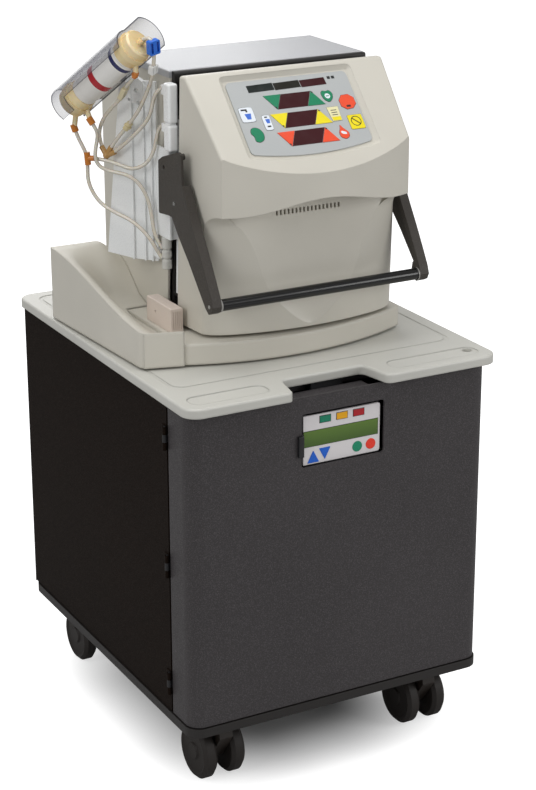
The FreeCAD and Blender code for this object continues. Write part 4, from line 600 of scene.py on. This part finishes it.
def shield_plastic(name, tone, edge_tone, see_through):
    """Thin clear tube: see-through on its walls and dark along its cut edges."""
    material, tree, shader = empty_finish(name)
    shader.inputs["Roughness"].default_value = 0.1
    place = tree.nodes.new("ShaderNodeTexCoord")
    offset = vector_step(tree, "SUBTRACT", place.outputs["Object"], FILTER_MIDDLE).outputs["Vector"]
    up_axis = vector_step(tree, "DOT_PRODUCT", offset, AXIS).outputs["Value"]
    rise = vector_step(tree, "SCALE", AXIS)
    tree.links.new(up_axis, rise.inputs["Scale"])
    outward = vector_step(tree, "SUBTRACT", offset, rise.outputs["Vector"]).outputs["Vector"]
    unit = vector_step(tree, "NORMALIZE", outward).outputs["Vector"]
    facing = vector_step(tree, "DOT_PRODUCT", unit, place.outputs["Normal"]).outputs["Value"]
    on_wall = tree.nodes.new("ShaderNodeMath")
    on_wall.operation = "ABSOLUTE"
    tree.links.new(facing, on_wall.inputs[0])
    tree.links.new(between(tree, on_wall.outputs["Value"], shade(edge_tone), shade(tone), *CUT_EDGE),
                   shader.inputs["Base Color"])
    glancing = tree.nodes.new("ShaderNodeLayerWeight")
    glancing.inputs["Blend"].default_value = 0.3
    wall = remapped(tree, glancing.outputs["Facing"], (0, 1), (1 - see_through, 0.75))
    edge = remapped(tree, on_wall.outputs["Value"], CUT_EDGE, (0.8, 0.0))
    solid = tree.nodes.new("ShaderNodeMath")
    solid.operation = "MAXIMUM"
    tree.links.new(wall, solid.inputs[0])
    tree.links.new(edge, solid.inputs[1])
    tree.links.new(solid.outputs["Value"], shader.inputs["Alpha"])
    return material


wear(shield_plastic("shield clear", "7E7F88", "2E3040", 0.84), "filter_shield")


# Lines: soft clear tubing with a warm tint, glued into its ports and moulded fittings.
# Each is cut to length, and three of them carry an open pinch clamp.

line_clear = resin("line tubing", "E8E1D4", "8F8264", 0.3, 0.16)
LINE_RADIUS = 0.0032
ROUTES = {
    "line_lower": (0.286, [
        (-283.2, 86.2, 1084), (-279, 83, 1068), (-271, 76, 1048), (-267, 72, 1032), (-267, 73, 1012),
        (-266, 75, 992), (-260, 69, 971), (-250, 56, 953), (-234, 36, 941), (-217, 14, 932),
        (-203, -4, 917), (-192.5, -18, 899), (-184.8, -22.5, 882), (-177.8, -26.4, 869)]),
    "line_upper": (0.280, [
        (-266.4, 55.1, 1099.9), (-261, 49, 1088), (-255, 53, 1076), (-255, 58, 1062), (-259, 57, 1047),
        (-259.5, 56, 1032), (-253.5, 53, 1020), (-243, 45, 1014), (-230, 32, 1011.5), (-217, 18.5, 1008),
        (-205, 7.5, 998), (-196.5, 1, 984), (-190, -3.5, 965), (-186.5, -7, 941), (-185, -10, 917),
        (-180.5, -14, 897), (-174.6, -22.5, 884.5)]),
    "line_cross": (0.188, [
        (-262.5, 70, 1033), (-245, 52, 1031), (-229, 34, 1026), (-214.5, 18, 1019), (-202, 4, 1022),
        (-189, -6, 1034), (-181.5, -13, 1055), (-178.5, -19, 1082), (-177.5, -26.5, 1096),
        (-174.5, -34.6, 1101.5)]),
    "line_clamp": (0.252, [
        (-212.7, -44.2, 1246.8), (-207.5, -54, 1252), (-203, -60, 1243), (-200, -58, 1225),
        (-197, -49, 1202), (-194.5, -34, 1177), (-196.5, -18, 1152), (-204, -3, 1121), (-215, 19, 1092),
        (-228, 37, 1068), (-235.5, 47, 1050)]),
    "line_pod": (0.160, [
        (-176.2, -36.3, 1163), (-182, -28, 1157), (-186, -22, 1142), (-188, -17, 1121), (-192, -9, 1104),
        (-201, 2, 1088), (-213, 14, 1071), (-222.5, 29, 1056), (-232.5, 44, 1043)]),
    "line_cap": (0.180, [
        (-220.5, -29.8, 1189.7), (-223, -22, 1178), (-227, -5, 1165), (-229, 14, 1141), (-237, 35, 1122),
        (-244, 51, 1104), (-247, 62, 1085), (-247, 66, 1066), (-243.5, 60.5, 1049)]),
}
for line, (length, route) in ROUTES.items():
    curve = bpy.data.curves.new(line + "_tubing", "CURVE")
    curve.dimensions = "3D"
    curve.bevel_depth = LINE_RADIUS
    curve.bevel_resolution = 5
    curve.use_fill_caps = True
    spline = curve.splines.new("NURBS")
    spline.points.add(len(route) - 1)
    for point, place in zip(spline.points, route):
        point.co = [c / 1000 for c in place] + [1.0]
    spline.order_u = 3
    spline.use_endpoint_u = True
    spline.resolution_u = 8
    tubing = bpy.data.objects.new(line + "_tubing", curve)
    bpy.context.scene.collection.objects.link(tubing)
    curve.materials.append(line_clear)
    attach(tubing, "cart")
    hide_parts(line)


def port_collar(name, at, towards):
    """A ribbed collar that is glued over the joint of a line and its port, in millimetres."""
    rings = [(-6, 4.2), (-4.5, 5.0), (-1, 5.0), (-0.6, 5.9), (2.4, 5.9), (2.8, 4.9), (6.2, 4.3), (6.8, 3.4)]
    turns = 24
    shape = bmesh.new()
    loops = []
    for height, radius in rings:
        around = ring_points(0, 0, radius, turns)
        loops.append([shape.verts.new((x / 1000, y / 1000, height / 1000)) for x, y in around])
    for low, high in zip(loops, loops[1:]):
        for i in range(turns):
            shape.faces.new((low[i], low[(i + 1) % turns], high[(i + 1) % turns], high[i]))
    shape.faces.new(loops[0][::-1])
    shape.faces.new(loops[-1])
    mesh = bpy.data.meshes.new(name)
    shape.to_mesh(mesh)
    shape.free()
    turn = (Vector(towards) - Vector(at)).to_track_quat("Z", "Y").to_matrix().to_4x4()
    mesh.transform(Matrix.Translation(Vector(at) / 1000) @ turn)
    mesh.materials.append(resin(name + " resin", "E08A34", "9A4F12", 0.3))
    piece = bpy.data.objects.new(name, mesh)
    bpy.context.scene.collection.objects.link(piece)
    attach(piece, "cart")


port_collar("upper_port_collar", (-220.9, -28.5, 1187.5), (-223, -22, 1178))
fitting_colours = [(-0.4, "C97A2C"), (-0.2505, "B98F54"), (-0.226, "D9CBA0")]
wear(by_position("fitting colours", (1, 0, 0), fitting_colours, 0.25), "line_fittings")
clamp_colours = [(1.12, "D6CBA8"), (1.180, "E8E8E6"), (1.212, "1468D6")]
wear(by_position("clamp colours", (0, 0, 1), clamp_colours, 0.3), "pinch_clamps")


# Studio: a pale floor, soft lamps and the photograph's viewpoint, none of it part of the object.
# The floor turns white away from the machine. Near it the glow fades, which paints part of the shadow, and
# under it the lamps' own shadow shows.

FLOOR_REACH = 30
# Painted shadow: the floor's glow is nought over this core and comes in over these distances from it.
PAINTED_SHADOW_CORE = (0.04, 0.10, 0)
PAINTED_SHADOW_FADE = (0.06, 0.34)


def seen_as_background(tree):
    """One for rays from the camera or through clear walls, and otherwise nought."""
    rays = tree.nodes.new("ShaderNodeLightPath")
    either = tree.nodes.new("ShaderNodeMath")
    either.operation = "MAXIMUM"
    tree.links.new(rays.outputs["Is Camera Ray"], either.inputs[0])
    tree.links.new(rays.outputs["Is Transmission Ray"], either.inputs[1])
    return either.outputs["Value"]


def floor_finish():
    """Matt pale floor that glows white at a distance from the machine, with a painted shadow where the glow
    fades near it.
    """
    material, tree, shader = empty_finish("studio floor")
    shader.inputs["Base Color"].default_value = (0.6, 0.6, 0.6, 1)
    shader.inputs["Roughness"].default_value = 0.9
    shader.inputs["Specular IOR Level"].default_value = 0.0
    place = tree.nodes.new("ShaderNodeTexCoord")
    one_side = vector_step(tree, "ABSOLUTE", place.outputs["Object"]).outputs["Vector"]
    past_core = vector_step(tree, "SUBTRACT", one_side, PAINTED_SHADOW_CORE).outputs["Vector"]
    outside = vector_step(tree, "MAXIMUM", past_core).outputs["Vector"]
    distance = vector_step(tree, "LENGTH", outside).outputs["Value"]
    whiter = remapped(tree, distance, PAINTED_SHADOW_FADE, (0.0, 0.95))
    whiter.node.interpolation_type = "SMOOTHSTEP"
    glow = tree.nodes.new("ShaderNodeMath")
    glow.operation = "MULTIPLY"
    tree.links.new(seen_as_background(tree), glow.inputs[0])
    tree.links.new(whiter, glow.inputs[1])
    shader.inputs["Emission Color"].default_value = (1, 1, 1, 1)
    tree.links.new(glow.outputs["Value"], shader.inputs["Emission Strength"])
    return material


floor_mesh = bpy.data.meshes.new("studio_floor")
floor_corners = [(x * FLOOR_REACH, y * FLOOR_REACH, 0) for x, y in ((-1, -1), (1, -1), (1, 1), (-1, 1))]
floor_mesh.from_pydata(floor_corners, [], [(0, 1, 2, 3)])
floor_mesh.materials.append(floor_finish())
floor = bpy.data.objects.new("studio_floor", floor_mesh)
bpy.context.scene.collection.objects.link(floor)

world = bpy.data.worlds.new("studio")
bpy.context.scene.world = world
world.use_nodes = True
sky = world.node_tree
ambient = sky.nodes["Background"]
ambient.inputs["Color"].default_value = (1, 1, 1, 1)
sky.links.new(remapped(sky, seen_as_background(sky), (0, 1), (0.34, 1.0)), ambient.inputs["Strength"])

MACHINE_MIDDLE = Vector((0, 0, 0.65))
LAMPS = (
    ("key_lamp", (2.1, -2.5, 1.7), 1.4, 28),
    ("top_lamp", (-0.3, -0.2, 3.2), 2.2, 38),
    ("left_lamp", (-2.9, -1.1, 2.3), 1.4, 26),
    ("back_lamp", (0.5, 2.8, 2.0), 2.0, 20),
)
for name, place, wide, power in LAMPS:
    lamp = bpy.data.lights.new(name, "AREA")
    lamp.size = wide
    lamp.energy = power
    holder = bpy.data.objects.new(name, lamp)
    holder.location = place
    holder.rotation_euler = (MACHINE_MIDDLE - Vector(place)).to_track_quat("-Z", "Y").to_euler()
    bpy.context.scene.collection.objects.link(holder)

AZIMUTH, ELEVATION, ROLL = math.radians(-28.19), math.radians(19.15), math.radians(-0.23)
TARGET, DISTANCE = Vector((0.01274, 0, 0.62957)), 3.64313
back = Vector((math.sin(AZIMUTH) * math.cos(ELEVATION),
               -math.cos(AZIMUTH) * math.cos(ELEVATION),
               math.sin(ELEVATION)))
level_right = (-back).cross(Vector((0, 0, 1))).normalized()
level_up = level_right.cross(-back)
right = level_right * math.cos(ROLL) + level_up * math.sin(ROLL)
up = level_up * math.cos(ROLL) - level_right * math.sin(ROLL)
camera = bpy.data.objects.new("photo_camera", bpy.data.cameras.new("photo_camera"))
turned = Matrix((right, up, back)).transposed().to_4x4()
camera.matrix_world = Matrix.Translation(TARGET + back * DISTANCE) @ turned
camera.data.lens = 92.65
camera.data.shift_x = 0.0179
camera.data.shift_y = -0.0334
bpy.context.scene.collection.objects.link(camera)
bpy.context.scene.camera = camera
bpy.context.scene.view_settings.view_transform = "Standard"
